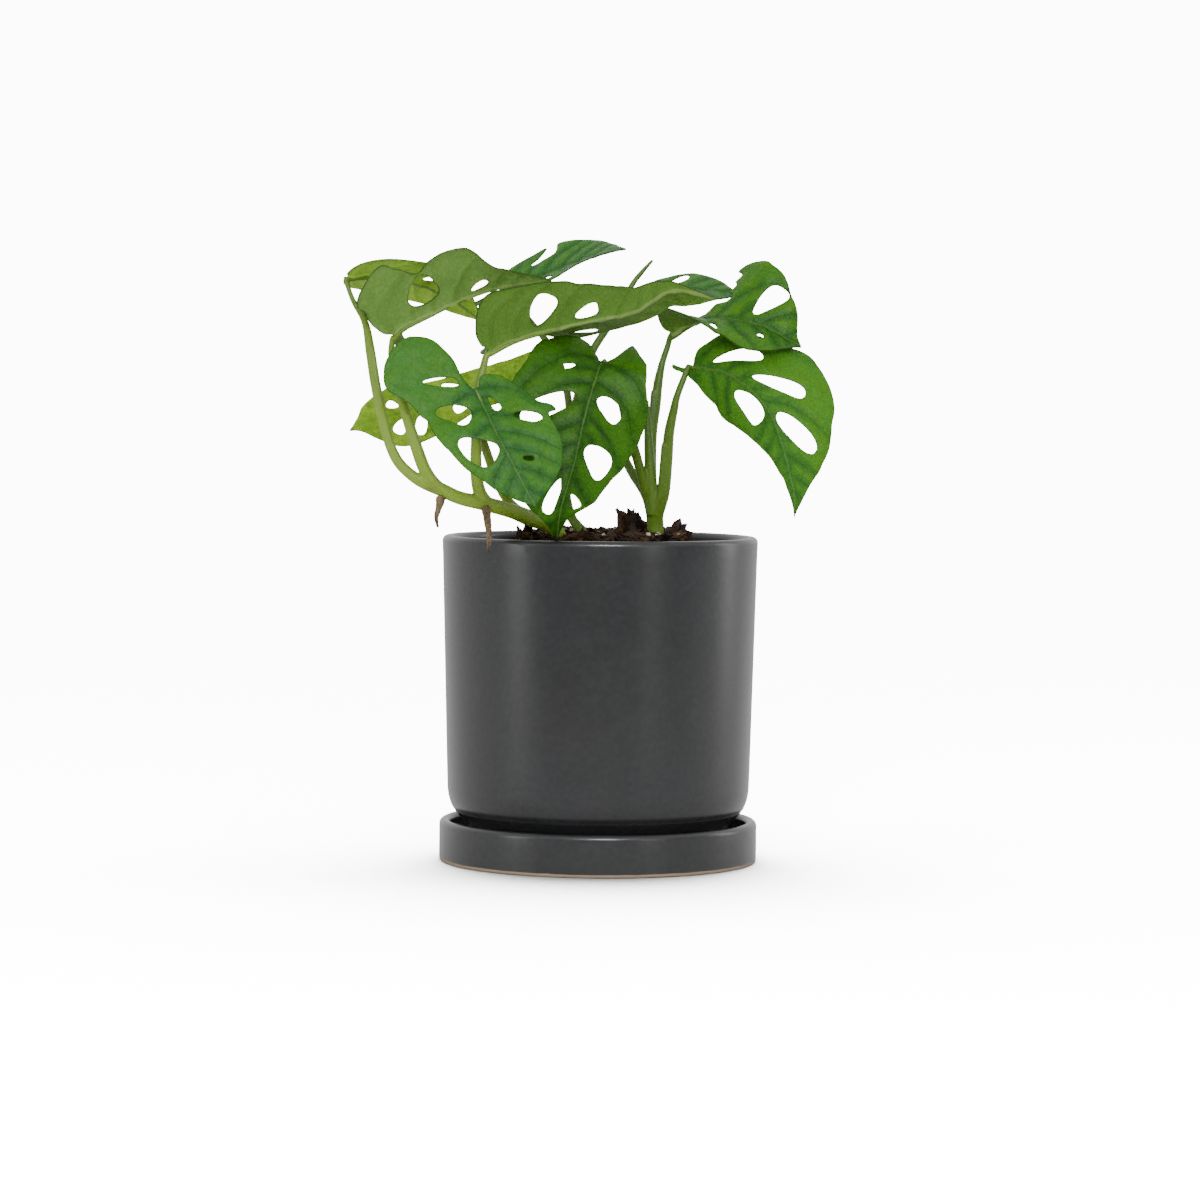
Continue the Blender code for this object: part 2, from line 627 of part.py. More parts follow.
def tube(name, stalk, collection, material, step=TUBE_STEP):
    """A round stalk of changing radius, made as a curve and turned into a welded mesh."""
    joined = [tuple(p) + (r,) for p, r in zip(stalk.points, stalk.radii)]
    path = smooth_path(joined, step)
    curve = bpy.data.curves.new(name, "CURVE")
    curve.dimensions = "3D"
    curve.bevel_depth = MM
    curve.bevel_resolution = TUBE_SIDES_RESOLUTION
    curve.use_fill_caps = True
    spline = curve.splines.new("POLY")
    spline.points.add(len(path) - 1)
    for point, (x, y, z, radius) in zip(spline.points, path):
        point.co = (x * MM, y * MM, z * MM, 1.0)
        point.radius = radius
    guide = bpy.data.objects.new(name + "_path", curve)
    collection.objects.link(guide)
    graph = bpy.context.evaluated_depsgraph_get()
    mesh = bpy.data.meshes.new_from_object(guide.evaluated_get(graph))
    work = bmesh.new()
    work.from_mesh(mesh)
    bmesh.ops.remove_doubles(work, verts=work.verts, dist=MERGE)
    work.to_mesh(mesh)
    work.free()
    made = put(name, mesh, collection, material)
    made.matrix_world = guide.matrix_world
    bpy.data.objects.remove(guide)
    return made


def boolean(body, operation, others):
    """Joins to a body, or cuts from it, every object of a collection, which is then emptied."""
    modifier = body.modifiers.new(operation.title(), "BOOLEAN")
    modifier.operation = operation
    modifier.operand_type = "COLLECTION"
    modifier.collection = others
    modifier.solver = "EXACT"
    apply_modifiers(body)
    for used in list(others.objects):
        bpy.data.objects.remove(used)


def stalks(name, parts, collection, shared, material):
    """A stem and its petioles, fused into one body."""
    body = tube(name, parts[0], collection, material)
    for number, stalk in enumerate(parts[1:]):
        tube(f"{name}_{number}", stalk, shared, None)
    boolean(body, "UNION", shared)
    return body


def hole_cutter(name, centre, radius, low, high, collection):
    """An upright round cutter for a stem's hole in the soil."""
    mesh = bpy.data.meshes.new(name)
    work = bmesh.new()
    size = radius * MM
    bmesh.ops.create_cone(
        work, cap_ends=True, segments=HOLE_SIDES, radius1=size, radius2=size, depth=(high - low) * MM
    )
    work.to_mesh(mesh)
    work.free()
    cutter = put(name, mesh, collection, None)
    cutter.location = (centre[0] * MM, centre[1] * MM, (low + high) / 2 * MM)
    cutter.hide_render = True
    cutter.display_type = "WIRE"
    return cutter


def chip(name, spot, size, turn, draw, collection):
    """A ragged piece of bark: a box with every corner pushed about, turned and set in place."""
    mesh = bpy.data.meshes.new(name)
    work = bmesh.new()
    bmesh.ops.create_cube(work, size=1.0)
    spin = Euler([math.radians(angle) for angle in turn]).to_matrix()
    for corner in work.verts:
        shift = Vector([draw.uniform(-CHIP_RAGGED, CHIP_RAGGED) for _ in range(3)])
        shape = Vector([(corner.co[i] + shift[i]) * size[i] for i in range(3)])
        corner.co = (Vector(spot) + spin @ shape) * MM
    bmesh.ops.triangulate(work, faces=list(work.faces))
    work.to_mesh(mesh)
    work.free()
    return put(name, mesh, collection, None)


def scatter_chips(collection):
    """Bark chips at seeded places over the root ball, clear of the stems, and the large clumps."""
    draw = random.Random(CHIP_SEED)
    made = 0
    while made < CHIP_COUNT:
        reach = BALL_RADIUS * CHIP_SPREAD * math.sqrt(draw.random())
        angle = draw.uniform(0.0, 2 * math.pi)
        x = BALL_CENTRE[0] + reach * math.cos(angle)
        y = BALL_CENTRE[1] + reach * math.sin(angle)
        near = min(math.dist((x, y), centre) for centre, _ in SOIL_HOLES)
        if near < CHIP_STEM_CLEARANCE + CHIP_LENGTH[1] / 2:
            continue
        length = draw.uniform(*CHIP_LENGTH)
        size = (length, length * CHIP_SHAPE[0], length * CHIP_SHAPE[1])
        tilt = [draw.uniform(-CHIP_TILT, CHIP_TILT) for _ in range(2)]
        turn = (*tilt, draw.uniform(0, 360))
        chip(f"chip_{made}", (x, y, BALL_TOP + size[2] * CHIP_LIFT), size, turn, draw, collection)
        made += 1
    for number, (spot, size, turn) in enumerate(CLUMPS):
        chip(f"clump_{number}", spot, size, turn, draw, collection)


def build_soil(collection, shared, cutters, material):
    """The lumpy root ball with bark chips half sunk in it, and a hole for each stem."""
    soil = turned("soil", soil_profile(), collection, material, SOIL_STEPS)
    for vertex in soil.data.vertices:
        spot = vertex.co / MM
        reach = math.hypot(spot.x, spot.y)
        if spot.z < FILL_TOP - 1.0 or reach > BALL_RADIUS + FILL_SLOPE * 3:
            continue
        push = SOIL_ROUGHNESS * noise.noise(spot / SOIL_GRAIN)
        vertex.co.z += push * MM * SOIL_LIFT
        if reach > 1.0 and reach < BALL_RADIUS + 2.0:
            vertex.co.x += (BALL_CENTRE[0] + push * spot.x / reach) * MM
            vertex.co.y += (BALL_CENTRE[1] + push * spot.y / reach) * MM
    scatter_chips(shared)
    boolean(soil, "UNION", shared)
    for number, (centre, radius) in enumerate(SOIL_HOLES):
        low, high = BALL_TOP - STEM_DEPTH - GAP, BALL_TOP + STEM_DEPTH
        hole_cutter(f"stem_hole_{number}", centre, radius, low, high, cutters)
    boolean(soil, "DIFFERENCE", cutters)
    return soil


def cross_unit(a, b):
    """The cross product of two rows of vectors, each brought to length one."""
    c = np.cross(a, b)
    return c / np.linalg.norm(c, axis=-1, keepdims=True)


class BladeShape:
    """Bends points of a flat blade into space along the blade's rib."""

    def __init__(self, blade):
        self.blade = blade
        self.line = smooth_path(blade.rib, 1.0)
        steps = np.linalg.norm(np.diff(self.line, axis=0), axis=1)
        self.run = np.concatenate([[0.0], np.cumsum(steps)])
        self.length = float(self.run[-1])

    def on_rib(self, along):
        """The rib's point at a distance from its base."""
        return np.stack([np.interp(along, self.run, self.line[:, i]) for i in range(3)], -1)

    def place(self, along, out):
        """The place in space of flat points: along the rib, and out from it, left positive."""
        blade = self.blade
        near = np.clip(along, 0.0, self.length)
        share = near / self.length
        ahead = self.on_rib(np.clip(near + 0.6, 0.0, self.length))
        behind = self.on_rib(np.clip(near - 0.6, 0.0, self.length))
        tangent = ahead - behind
        tangent /= np.linalg.norm(tangent, axis=-1, keepdims=True)
        marks = np.linspace(0.0, 1.0, len(blade.face))
        look = np.array(blade.face, float)
        facing = np.stack([np.interp(share, marks, look[:, i]) for i in range(3)], -1)
        side = cross_unit(facing, tangent)
        upper = np.cross(tangent, side)
        middle = self.on_rib(near) + tangent * (along - near)[..., None]
        is_left = out >= 0.0
        rises = []
        for values in (blade.rise_left, blade.rise_right):
            rises.append(np.interp(share, np.linspace(0.0, 1.0, len(values)), values))
        rise = np.radians(np.where(is_left, rises[0], rises[1]))
        reach = np.abs(out)
        edge = (reach / blade.half_width) ** 2
        height, count, start = blade.wave
        phase = 2 * math.pi * count * share + start + np.where(is_left, 0.0, 1.7)
        lift = reach * np.sin(rise) + height * edge * np.sin(phase)
        across = np.sign(out) * reach * np.cos(rise)
        return middle + side * across[..., None] + upper * lift[..., None]


def blade_outline(blade, length, step):
    """The closed flat outline: left margin from the sinus to the tip, right margin back."""
    base = (BLADE_START, SINUS_HALF_WIDTH)
    tip = (length, 0.0)
    left = smooth_path([base, *blade.left, tip], step)
    right = smooth_path([base, *blade.right, tip], step) * (1.0, -1.0)
    return np.vstack([left, right[::-1][1:]])


def hole_outline(hole, count):
    """The flat outline of a hole, a little fuller at its outer end."""
    turn = np.arange(count) * 2 * math.pi / count
    a = hole.length / 2 * np.cos(turn)
    b = hole.width / 2 * np.sin(turn) * (1 + 0.25 * np.cos(turn))
    lean = math.radians(hole.lean)
    along = hole.along + a * math.cos(lean) - b * math.sin(lean)
    out = hole.out + a * math.sin(lean) + b * math.cos(lean)
    return np.stack([along, out if hole.half == "left" else -out], 1)


def inside(points, ring):
    """Which points lie inside a closed ring."""
    x, y = points[:, 0:1], points[:, 1:2]
    a, b = ring, np.roll(ring, -1, axis=0)
    spans = (a[:, 1] > y) != (b[:, 1] > y)
    rise = np.where(b[:, 1] == a[:, 1], 1e-9, b[:, 1] - a[:, 1])
    crosses = x < (b[:, 0] - a[:, 0]) * (y - a[:, 1]) / rise + a[:, 0]
    return (spans & crosses).sum(1) % 2 == 1


def field_points(outline, holes, rib_end):
    """Points spread evenly over the blade, clear of its edges, holes and rib."""
    low, high = outline.min(0), outline.max(0)
    rows = np.arange(low[1], high[1], FIELD_STEP * 0.87)
    found = []
    for number, row in enumerate(rows):
        shift = FIELD_STEP / 2 * (number % 2)
        found += [(x, row) for x in np.arange(low[0] + shift, high[0], FIELD_STEP)]
    found = np.array(found)
    keep = inside(found, outline)
    edges = np.vstack([outline, *holes])
    apart = np.linalg.norm(found[:, None] - edges[None], axis=2).min(1)
    keep &= apart > FIELD_CLEARANCE
    keep &= np.abs(found[:, 1]) > FIELD_CLEARANCE
    for hole in holes:
        keep &= ~inside(found, hole)
    return found[keep & (found[:, 0] < rib_end)]


def build_blade(blade, collection, material):
    """One leaf blade: cut flat with its holes, bent along its rib, then given its thickness."""
    shape = BladeShape(blade)
    outline = blade_outline(blade, shape.length, EDGE_STEP)
    holes = [hole_outline(hole, HOLE_POINTS) for hole in blade.holes]
    rib = np.arange(BLADE_START + RIB_STEP / 2, shape.length - RIB_STEP / 2, RIB_STEP)
    rib = np.stack([rib, 0.0 * rib], 1)
    field = field_points(outline, holes, shape.length)
    points = np.vstack([outline, *holes, rib, field])
    edges = []
    start = 0
    for ring in [outline, *holes]:
        count = len(ring)
        edges += [(start + i, start + (i + 1) % count) for i in range(count)]
        start += count
    edges += [(start + i, start + i + 1) for i in range(len(rib) - 1)]
    flat = [Vector(p) for p in points.tolist()]
    found, _, faces, _, _, _ = delaunay_2d_cdt(flat, edges, [], 0, 0.0001)
    spots = np.array([tuple(v) for v in found])
    middles = np.array([spots[list(face)].mean(0) for face in faces])
    keep = inside(middles, outline)
    for hole in holes:
        keep &= ~inside(middles, hole)
    kept = [tuple(face) for face, good in zip(faces, keep) if good]
    placed = shape.place(spots[:, 0], spots[:, 1]) * MM
    mesh = bpy.data.meshes.new(blade.name)
    work = bmesh.new()
    corners = [work.verts.new(p) for p in placed.tolist()]
    for face in kept:
        work.faces.new([corners[i] for i in face])
    loose = [v for v in work.verts if not v.link_faces]
    bmesh.ops.delete(work, geom=loose, context="VERTS")
    work.to_mesh(mesh)
    work.free()
    made = put(blade.name, mesh, collection, material)
    skin = made.modifiers.new("Thickness", "SOLIDIFY")
    skin.thickness = BLADE_THICKNESS * MM
    skin.offset = 0.0
    skin.use_even_offset = False
    apply_modifiers(made)
    return made


def main():
    """Builds every piece."""
    clear_scene()
    parts = new_collection("monstera_adansonii")
    shared = new_collection("fused_parts")
    cutters = new_collection("cutters")
    looks = {name: make_material(name) for name in COLOURS}
    turned("saucer", saucer_profile(), parts, looks["glaze"])
    turned("pot", pot_profile(), parts, looks["glaze"], closed=True)
    build_soil(parts, shared, cutters, looks["soil"])
    for name, group in (("vine", VINE), ("crown", CROWN), ("back_stem", BACK_STEM)):
        stalks(name, group, parts, shared, looks["stem"])
    for name, root in ROOTS.items():
        tube(name, root, parts, looks["root"], ROOT_STEP)
    for blade in BLADES:
        build_blade(blade, parts, looks["blade"])


main()
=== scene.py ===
"""A young monstera adansonii in a charcoal ceramic pot with its saucer, dressed for the picture.

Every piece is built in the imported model's own frame: metres, +Z up, the origin on the ground under
the pot's axis, +X to the viewer's right and +Y away from the viewer. The tables below hold
millimetres, which MM turns into metres where a mesh is made.
"""

import logging
import math
import random
from dataclasses import dataclass, field
from enum import Enum

import bpy
import numpy as np
from mathutils import Euler, Matrix, Vector, noise
from mathutils.geometry import delaunay_2d_cdt
from mathutils.kdtree import KDTree


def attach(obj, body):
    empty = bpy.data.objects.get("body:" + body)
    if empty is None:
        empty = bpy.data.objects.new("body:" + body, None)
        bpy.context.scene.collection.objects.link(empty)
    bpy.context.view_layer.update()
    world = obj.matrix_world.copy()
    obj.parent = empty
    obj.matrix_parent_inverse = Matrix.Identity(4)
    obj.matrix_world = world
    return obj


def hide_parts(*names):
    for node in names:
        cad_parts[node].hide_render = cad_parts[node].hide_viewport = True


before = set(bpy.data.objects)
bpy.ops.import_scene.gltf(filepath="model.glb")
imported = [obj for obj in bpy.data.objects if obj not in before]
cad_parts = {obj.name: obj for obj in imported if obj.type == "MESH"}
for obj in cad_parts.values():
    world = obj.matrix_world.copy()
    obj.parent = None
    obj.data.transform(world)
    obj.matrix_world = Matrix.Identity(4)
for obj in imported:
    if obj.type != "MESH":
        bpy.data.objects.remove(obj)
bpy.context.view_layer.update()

MM = 0.001
BODY = "root"
WHITE = (1.0, 1.0, 1.0)

# How strongly the camera sees the backdrop shine
BACKDROP = 12.0

# Distance within which points of a mesh grow together, in metres
WELD = 0.000001

# How clear of a leaf's lines its other points stay, against their spacing
CLEAR_OF_EDGE = 0.7
CLEAR_OF_RIB = 0.8
CLEAR_OF_LINES = 0.55

# Angles from which an edge stays sharp, in degrees
CERAMIC_CREASE = 50.0
BLADE_CREASE = 70.0

log = logging.getLogger("monstera")


class Slot(Enum):
    """The record's material slots."""

    GLAZE = "glaze"
    SOIL = "soil"
    BLADE = "blade"
    STEM = "stem"
    ROOT = "root"


class Half(Enum):
    """The two halves of a blade, seen from above with the tip ahead."""

    LEFT = 1
    RIGHT = -1


Colour = tuple[float, float, float]
Point = tuple[float, float, float]


class Wire:
    """A number that flows through a material, so that Python's arithmetic adds its Math nodes."""

    def __init__(self, graph: "Graph", socket: bpy.types.NodeSocket) -> None:
        """Keeps the graph and the output socket that the number comes from."""
        self.graph = graph
        self.socket = socket

    def _join(self, operation: str, first: object, second: object) -> "Wire":
        """Adds one Math node on two values."""
        made = self.graph.node("Math", {0: first, 1: second}, operation=operation)
        return Wire(self.graph, made.outputs[0])

    def __add__(self, other: object) -> "Wire":
        """The sum."""
        return self._join("ADD", self, other)

    def __radd__(self, other: object) -> "Wire":
        """The sum, with a plain number first."""
        return self._join("ADD", other, self)

    def __sub__(self, other: object) -> "Wire":
        """The difference."""
        return self._join("SUBTRACT", self, other)

    def __rsub__(self, other: object) -> "Wire":
        """The difference from a plain number."""
        return self._join("SUBTRACT", other, self)

    def __mul__(self, other: object) -> "Wire":
        """The product."""
        return self._join("MULTIPLY", self, other)

    def __rmul__(self, other: object) -> "Wire":
        """The product, with a plain number first."""
        return self._join("MULTIPLY", other, self)

    def __pow__(self, other: object) -> "Wire":
        """The power."""
        return self._join("POWER", self, other)

    def least(self, other: object) -> "Wire":
        """The smaller of two values."""
        return self._join("MINIMUM", self, other)

    def most(self, other: object) -> "Wire":
        """The larger of two values."""
        return self._join("MAXIMUM", self, other)

    def fade(self, start: float, end: float) -> "Wire":
        """A soft step.

        Args:
            start: the value where the result is 0.
            end: the value where the result is 1. It may be the smaller of the two.

        Returns:
            A value from 0 to 1.
        """
        sockets = {0: self, 1: min(start, end), 2: max(start, end)}
        made = self.graph.node("MapRange", sockets, interpolation_type="SMOOTHSTEP")
        share = Wire(self.graph, made.outputs[0])
        return share if start < end else 1.0 - share


class Graph:
    """A procedural material, or the surroundings' shader, under construction."""

    def __init__(self, name: str, world: bool = False) -> None:
        """Starts a material with its Principled shader, or a world with its Background."""
        self.material = (bpy.data.worlds if world else bpy.data.materials).new(name)
        self.material.use_nodes = True
        self.tree = self.material.node_tree
        self.shader = self.tree.nodes["Background" if world else "Principled BSDF"]
        self.place = self.node("TexCoord").outputs["Generated" if world else "Object"]

    def node(self, kind: str, sockets: dict | None = None, **settings: object) -> bpy.types.Node:
        """Adds one node.

        Args:
            kind: the node's type, without ShaderNode before it.
            sockets: input names or numbers to a value, a Wire or an output socket.
            settings: its properties, set before the sockets.

        Returns:
            The node.
        """
        made = self.tree.nodes.new("ShaderNode" + kind)
        for key, value in settings.items():
            setattr(made, key, value)
        self.feed(made, sockets or {})
        return made

    def feed(self, node: bpy.types.Node, sockets: dict) -> None:
        """Sets or links a node's inputs.

        Args:
            node: the node.
            sockets: input names or numbers to a value, a Wire or an output socket.
        """
        for key, value in sockets.items():
            if isinstance(value, Wire):
                self.tree.links.new(value.socket, node.inputs[key])
            elif isinstance(value, bpy.types.NodeSocket):
                self.tree.links.new(value, node.inputs[key])
            elif isinstance(value, tuple) and len(value) == 3 and node.inputs[key].type == "RGBA":
                node.inputs[key].default_value = (*value, 1.0)
            else:
                node.inputs[key].default_value = value

    def grain(self, scale: float, detail: float = 3.0, stretch: Point = (1.0, 1.0, 1.0)) -> Wire:
        """Cloudy noise in the piece's own frame, about 0.5 on average.

        Args:
            scale: how many clouds there are to a metre.
            detail: how many finer layers it has.
            stretch: the scale along X, Y and Z against each other.

        Returns:
            The noise.
        """
        spot = self.node("Mapping", {"Vector": self.place, "Scale": stretch})
        sockets = {"Vector": spot.outputs[0], "Scale": scale, "Detail": detail}
        return Wire(self, self.node("TexNoise", sockets).outputs[0])

    def cells(self, scale: float) -> Wire:
        """The distance to the borders of irregular cells in the piece's own frame."""
        sockets = {"Vector": self.place, "Scale": scale}
        made = self.node("TexVoronoi", sockets, feature="DISTANCE_TO_EDGE")
        return Wire(self, made.outputs["Distance"])

    def along(self, axis: int) -> Wire:
        """The place along one axis of the piece's own frame, in metres."""
        return Wire(self, self.node("SeparateXYZ", {0: self.place}).outputs[axis])

    def mark(self, name: str) -> Wire:
        """A number kept on the piece's own points."""
        return Wire(self, self.node("Attribute", attribute_name=name).outputs["Fac"])

    def mix(self, first: object, second: object, share: object) -> bpy.types.NodeSocket:
        """Blends two colours.

        Args:
            first: the colour at share 0.
            second: the colour at share 1.
            share: a number or a Wire, held between 0 and 1.

        Returns:
            The blended colour's socket.
        """
        sockets = {0: share, 6: first, 7: second}
        return self.node("Mix", sockets, data_type="RGBA", clamp_factor=True).outputs[2]

    def bump(self, height: Wire, depth: float) -> bpy.types.NodeSocket:
        """Turns a height into a normal.

        Args:
            height: the relief, from 0 to 1.
            depth: how deep it is, in metres.

        Returns:
            The normal's socket.
        """
        return self.node("Bump", {"Height": height, "Distance": depth, "Strength": 1.0}).outputs[0]

    def seen(self, plain: bpy.types.Node, bright: bpy.types.Node) -> None:
        """Shows the camera the bright shader, while the plain one lights the scene."""
        path = self.node("LightPath").outputs["Is Camera Ray"]
        made = self.node("MixShader", {0: path, 1: plain.outputs[0], 2: bright.outputs[0]})
        kinds = ("OUTPUT_MATERIAL", "OUTPUT_WORLD")
        output = next(node for node in self.tree.nodes if node.type in kinds)
        self.tree.links.new(made.outputs[0], output.inputs[0])

    def dress(self, sockets: dict) -> bpy.types.Material:
        """Feeds the shader and hands the material over."""
        self.feed(self.shader, sockets)
        return self.material


@dataclass(frozen=True)
class GlazeFinish:
    """Satin charcoal glaze with soft clouds and a fine, slightly paler grain.

    clay_height: how high the bare clay reaches above the ground, in metres.
    """

    body: Colour = (0.0095, 0.0098, 0.0106)
    pale: Colour = (0.018, 0.0183, 0.0194)
    clay: Colour = (0.20, 0.145, 0.095)
    clay_height: float = 0.0013
    roughness: float = 0.30

    def build(self, name: str, bare_foot: bool) -> bpy.types.Material:
        """Makes the finish.

        Args:
            name: the material's name.
            bare_foot: whether the clay shows in a narrow band at the ground.

        Returns:
            The material.
        """
        graph = Graph(name)
        cloud = graph.grain(70.0, 4.0)
        speck = graph.grain(480.0, 2.0)
        share = cloud.fade(0.25, 0.8) * 0.2 + speck.fade(0.3, 0.8) * 0.45
        colour = graph.mix(self.body, self.pale, share)
        rough = self.roughness + 0.06 * (cloud - 0.5) + 0.05 * (speck - 0.5)
        if bare_foot:
            low = graph.along(2) + 0.0005 * (graph.grain(160.0) - 0.5)
            bare = low.fade(self.clay_height + 0.0002, self.clay_height - 0.0002)
            colour = graph.mix(colour, self.clay, bare)
            rough = rough + 0.4 * bare
        relief = graph.grain(220.0, 2.0)
        sockets = {"Base Color": colour, "Roughness": rough, "Normal": graph.bump(relief, 0.00003)}
        return graph.dress(sockets | {"Specular IOR Level": 0.40})


@dataclass(frozen=True)
class SoilFinish:
    """Moist bark and peat: near black in the hollows, with orange-brown faces on the chips."""

    dark: Colour = (0.004, 0.002, 0.0008)
    brown: Colour = (0.022, 0.010, 0.0035)
    orange: Colour = (0.085, 0.036, 0.009)

    def build(self, name: str) -> bpy.types.Material:
        """Makes the finish. The attribute "tone" says how pale each chip is."""
        graph = Graph(name)
        coarse = graph.grain(260.0, 5.0)
        fibre = graph.grain(700.0, 4.0, (1.0, 0.35, 0.6))
        tone = graph.mark("tone")
        colour = graph.mix(self.dark, self.brown, (coarse * 0.7 + tone * 0.6).fade(0.25, 0.8))
        orange = (tone * 0.9 + fibre * 0.5).fade(0.78, 1.25)
        colour = graph.mix(colour, self.orange, orange)
        relief = coarse * 0.5 + fibre * 0.5
        sockets = {"Base Color": colour, "Roughness": 0.72 + 0.2 * fibre}
        return graph.dress(sockets | {"Normal": graph.bump(relief, 0.0008), "Specular IOR Level": 0.2})


@dataclass(frozen=True)
class GritFinish:
    """Pale, porous perlite."""

    pale: Colour = (0.34, 0.30, 0.24)
    stained: Colour = (0.18, 0.135, 0.085)

    def build(self, name: str) -> bpy.types.Material:
        """Makes the finish."""
        graph = Graph(name)
        stain = graph.grain(500.0, 4.0)
        colour = graph.mix(self.pale, self.stained, stain.fade(0.4, 0.7))
        return graph.dress({"Base Color": colour, "Roughness": 0.9, "Normal": graph.bump(stain, 0.0003)})


@dataclass(frozen=True)
class StemFinish:
    """Living stem: pale yellow-green low down, darker towards the blades, streaked along its length."""

    pale: Colour = (0.150, 0.232, 0.024)
    green: Colour = (0.048, 0.110, 0.006)
    scar: Colour = (0.085, 0.050, 0.018)

    def build(self, name: str) -> bpy.types.Material:
        """Makes the finish. "ripe" runs from 0 at the soil to 1 at the blades, "scar" marks joints."""
        graph = Graph(name)
        streak = graph.grain(900.0, 3.0, (1.0, 1.0, 0.09))
        cloud = graph.grain(120.0, 3.0)
        ripe = graph.mark("ripe") + 0.35 * (cloud - 0.5) + 0.25 * (streak - 0.5)
        colour = graph.mix(self.pale, self.green, ripe.fade(0.15, 1.05))
        freckle = graph.grain(1300.0, 1.0).fade(0.70, 0.78)
        scar = graph.mark("scar")
        worn = (scar * (0.45 + 0.9 * graph.grain(700.0, 3.0)) + 0.3 * freckle).least(1.0)
        colour = graph.mix(colour, self.scar, worn)
        sockets = {"Base Color": colour, "Roughness": 0.36 + 0.18 * streak + 0.3 * scar}
        normal = graph.bump(streak * 0.7 + cloud * 0.3, 0.00018)
        glow = {"Subsurface Weight": 0.12, "Subsurface Scale": 0.002}
        glow |= {"Subsurface Radius": (0.4, 1.0, 0.2)}
        return graph.dress(sockets | glow | {"Normal": normal, "Specular IOR Level": 0.2})


@dataclass(frozen=True)
class RootFinish:
    """A dry aerial root, tan above and nearly black at its tip."""

    tan: Colour = (0.120, 0.080, 0.032)
    brown: Colour = (0.042, 0.024, 0.010)
    tip: Colour = (0.012, 0.008, 0.006)

    def build(self, name: str) -> bpy.types.Material:
        """Makes the finish. "ripe" runs from 0 at the joint to 1 at the tip."""
        graph = Graph(name)
        streak = graph.grain(800.0, 4.0, (1.0, 1.0, 0.2))
        colour = graph.mix(self.tan, self.brown, streak.fade(0.35, 0.7))
        colour = graph.mix(colour, self.tip, (graph.mark("ripe") + 0.2 * streak).fade(0.85, 1.08))
        sockets = {"Base Color": colour, "Roughness": 0.8}
        return graph.dress(sockets | {"Normal": graph.bump(streak, 0.0004)})


@dataclass(frozen=True)
class LeafFinish:
    """A living blade, from the attributes that the mesh keeps for each of its points.

    "vein" is the distance to the nearest side vein, "rib" to the midrib and "edge" to the margin,
    all in millimetres. "under" is 1 on the lower side.
    """

    light: Colour = (0.034, 0.122, 0.007)
    # dark: the top's darker green, used for the painted shade along the veins and for the leaf's own
    # darker mottle
    dark: Colour = (0.010, 0.056, 0.006)
    # warm: the panels' warmer, paler green, partly the leaf's own tone and partly painted light
    warm: Colour = (0.062, 0.150, 0.002)
    rib: Colour = (0.080, 0.155, 0.022)
    under: Colour = (0.076, 0.158, 0.022)
    under_dark: Colour = (0.046, 0.104, 0.012)
    under_vein: Colour = (0.150, 0.230, 0.060)
    margin: Colour = (0.008, 0.026, 0.002)
    warm_sun_share: float = 0.5
    # band sets how far the painted shade bands reach beside the veins and the midrib, in millimetres
    band: float = 2.6
    roughness: float = 0.44

    def build(self, name: str) -> bpy.types.Material:
        """Makes the finish."""
        graph = Graph(name)
        vein, rib, edge = graph.mark("vein"), graph.mark("rib"), graph.mark("edge")
        under = graph.mark("under").fade(0.3, 0.7)
        cloud = graph.grain(130.0, 4.0)
        mottle = graph.grain(420.0, 4.0)
        net = graph.cells(420.0)
        panel = graph.cells(190.0)
        # Painted shade: the top darkens in soft bands along the side veins and the midrib, where the
        # sunk veins lie in shade; mottle, cloud and the panel seams add the leaf's own uneven tone
        wide = vein.least(rib * 0.8)
        wander = 2.6 * (cloud - 0.5) + 1.2 * (mottle - 0.5)
        band = (wide + wander).fade(self.band * 1.5, 0.0) * (1.0 - 0.4 * rib.fade(5.0, 20.0))
        seam = panel.fade(0.14, 0.0) * (0.4 + mottle)
        shade = band * 0.70 + 0.28 * seam + 0.5 * (mottle - 0.42) + 0.35 * (cloud - 0.5)
        top = graph.mix(self.light, self.dark, shade)
        # Partly a warmer tone and partly painted light: a paler, warmer green in the middle of the
        # panels, away from the painted shade bands
        sun = (1.0 - band) * (cloud * 0.7 + mottle * 0.5).fade(0.52, 0.8) * self.warm_sun_share
        top = graph.mix(top, self.warm, sun)
        top = graph.mix(top, self.rib, rib.fade(0.45, 0.15) * 0.42)
        # Painted shade in the groove of each sunk vein
        top = graph.mix(top, self.dark, vein.fade(0.32, 0.05) * 0.6)
        lower = graph.mix(self.under, self.under_dark, 0.9 * (cloud - 0.2) + 0.25 * net.fade(0.12, 0.0))
        lower = graph.mix(lower, self.under_dark, (vein + wander * 0.3).fade(1.5, 0.2) * 0.5)
        lower = graph.mix(lower, self.under_vein, vein.fade(0.3, 0.1) * 0.08)
        lower = graph.mix(lower, self.under_vein, rib.fade(1.0, 0.55) * 0.9)
        colour = graph.mix(top, lower, under)
        colour = graph.mix(colour, self.margin, edge.fade(0.55, 0.0) * 0.75)
        relief = mottle * 0.45 + net.fade(0.0, 0.16) * 0.25 + vein.fade(0.0, 0.5) * 0.3
        rough = self.roughness + 0.16 * (mottle - 0.5) + 0.14 * under
        sockets = {"Base Color": colour, "Roughness": rough, "Normal": graph.bump(relief, 0.00022)}
        glow = {"Subsurface Weight": 0.25, "Subsurface Scale": 0.0012}
        glow |= {"Subsurface Radius": (0.5, 1.0, 0.15)}
        return graph.dress(sockets | glow | {"Specular IOR Level": 0.07})


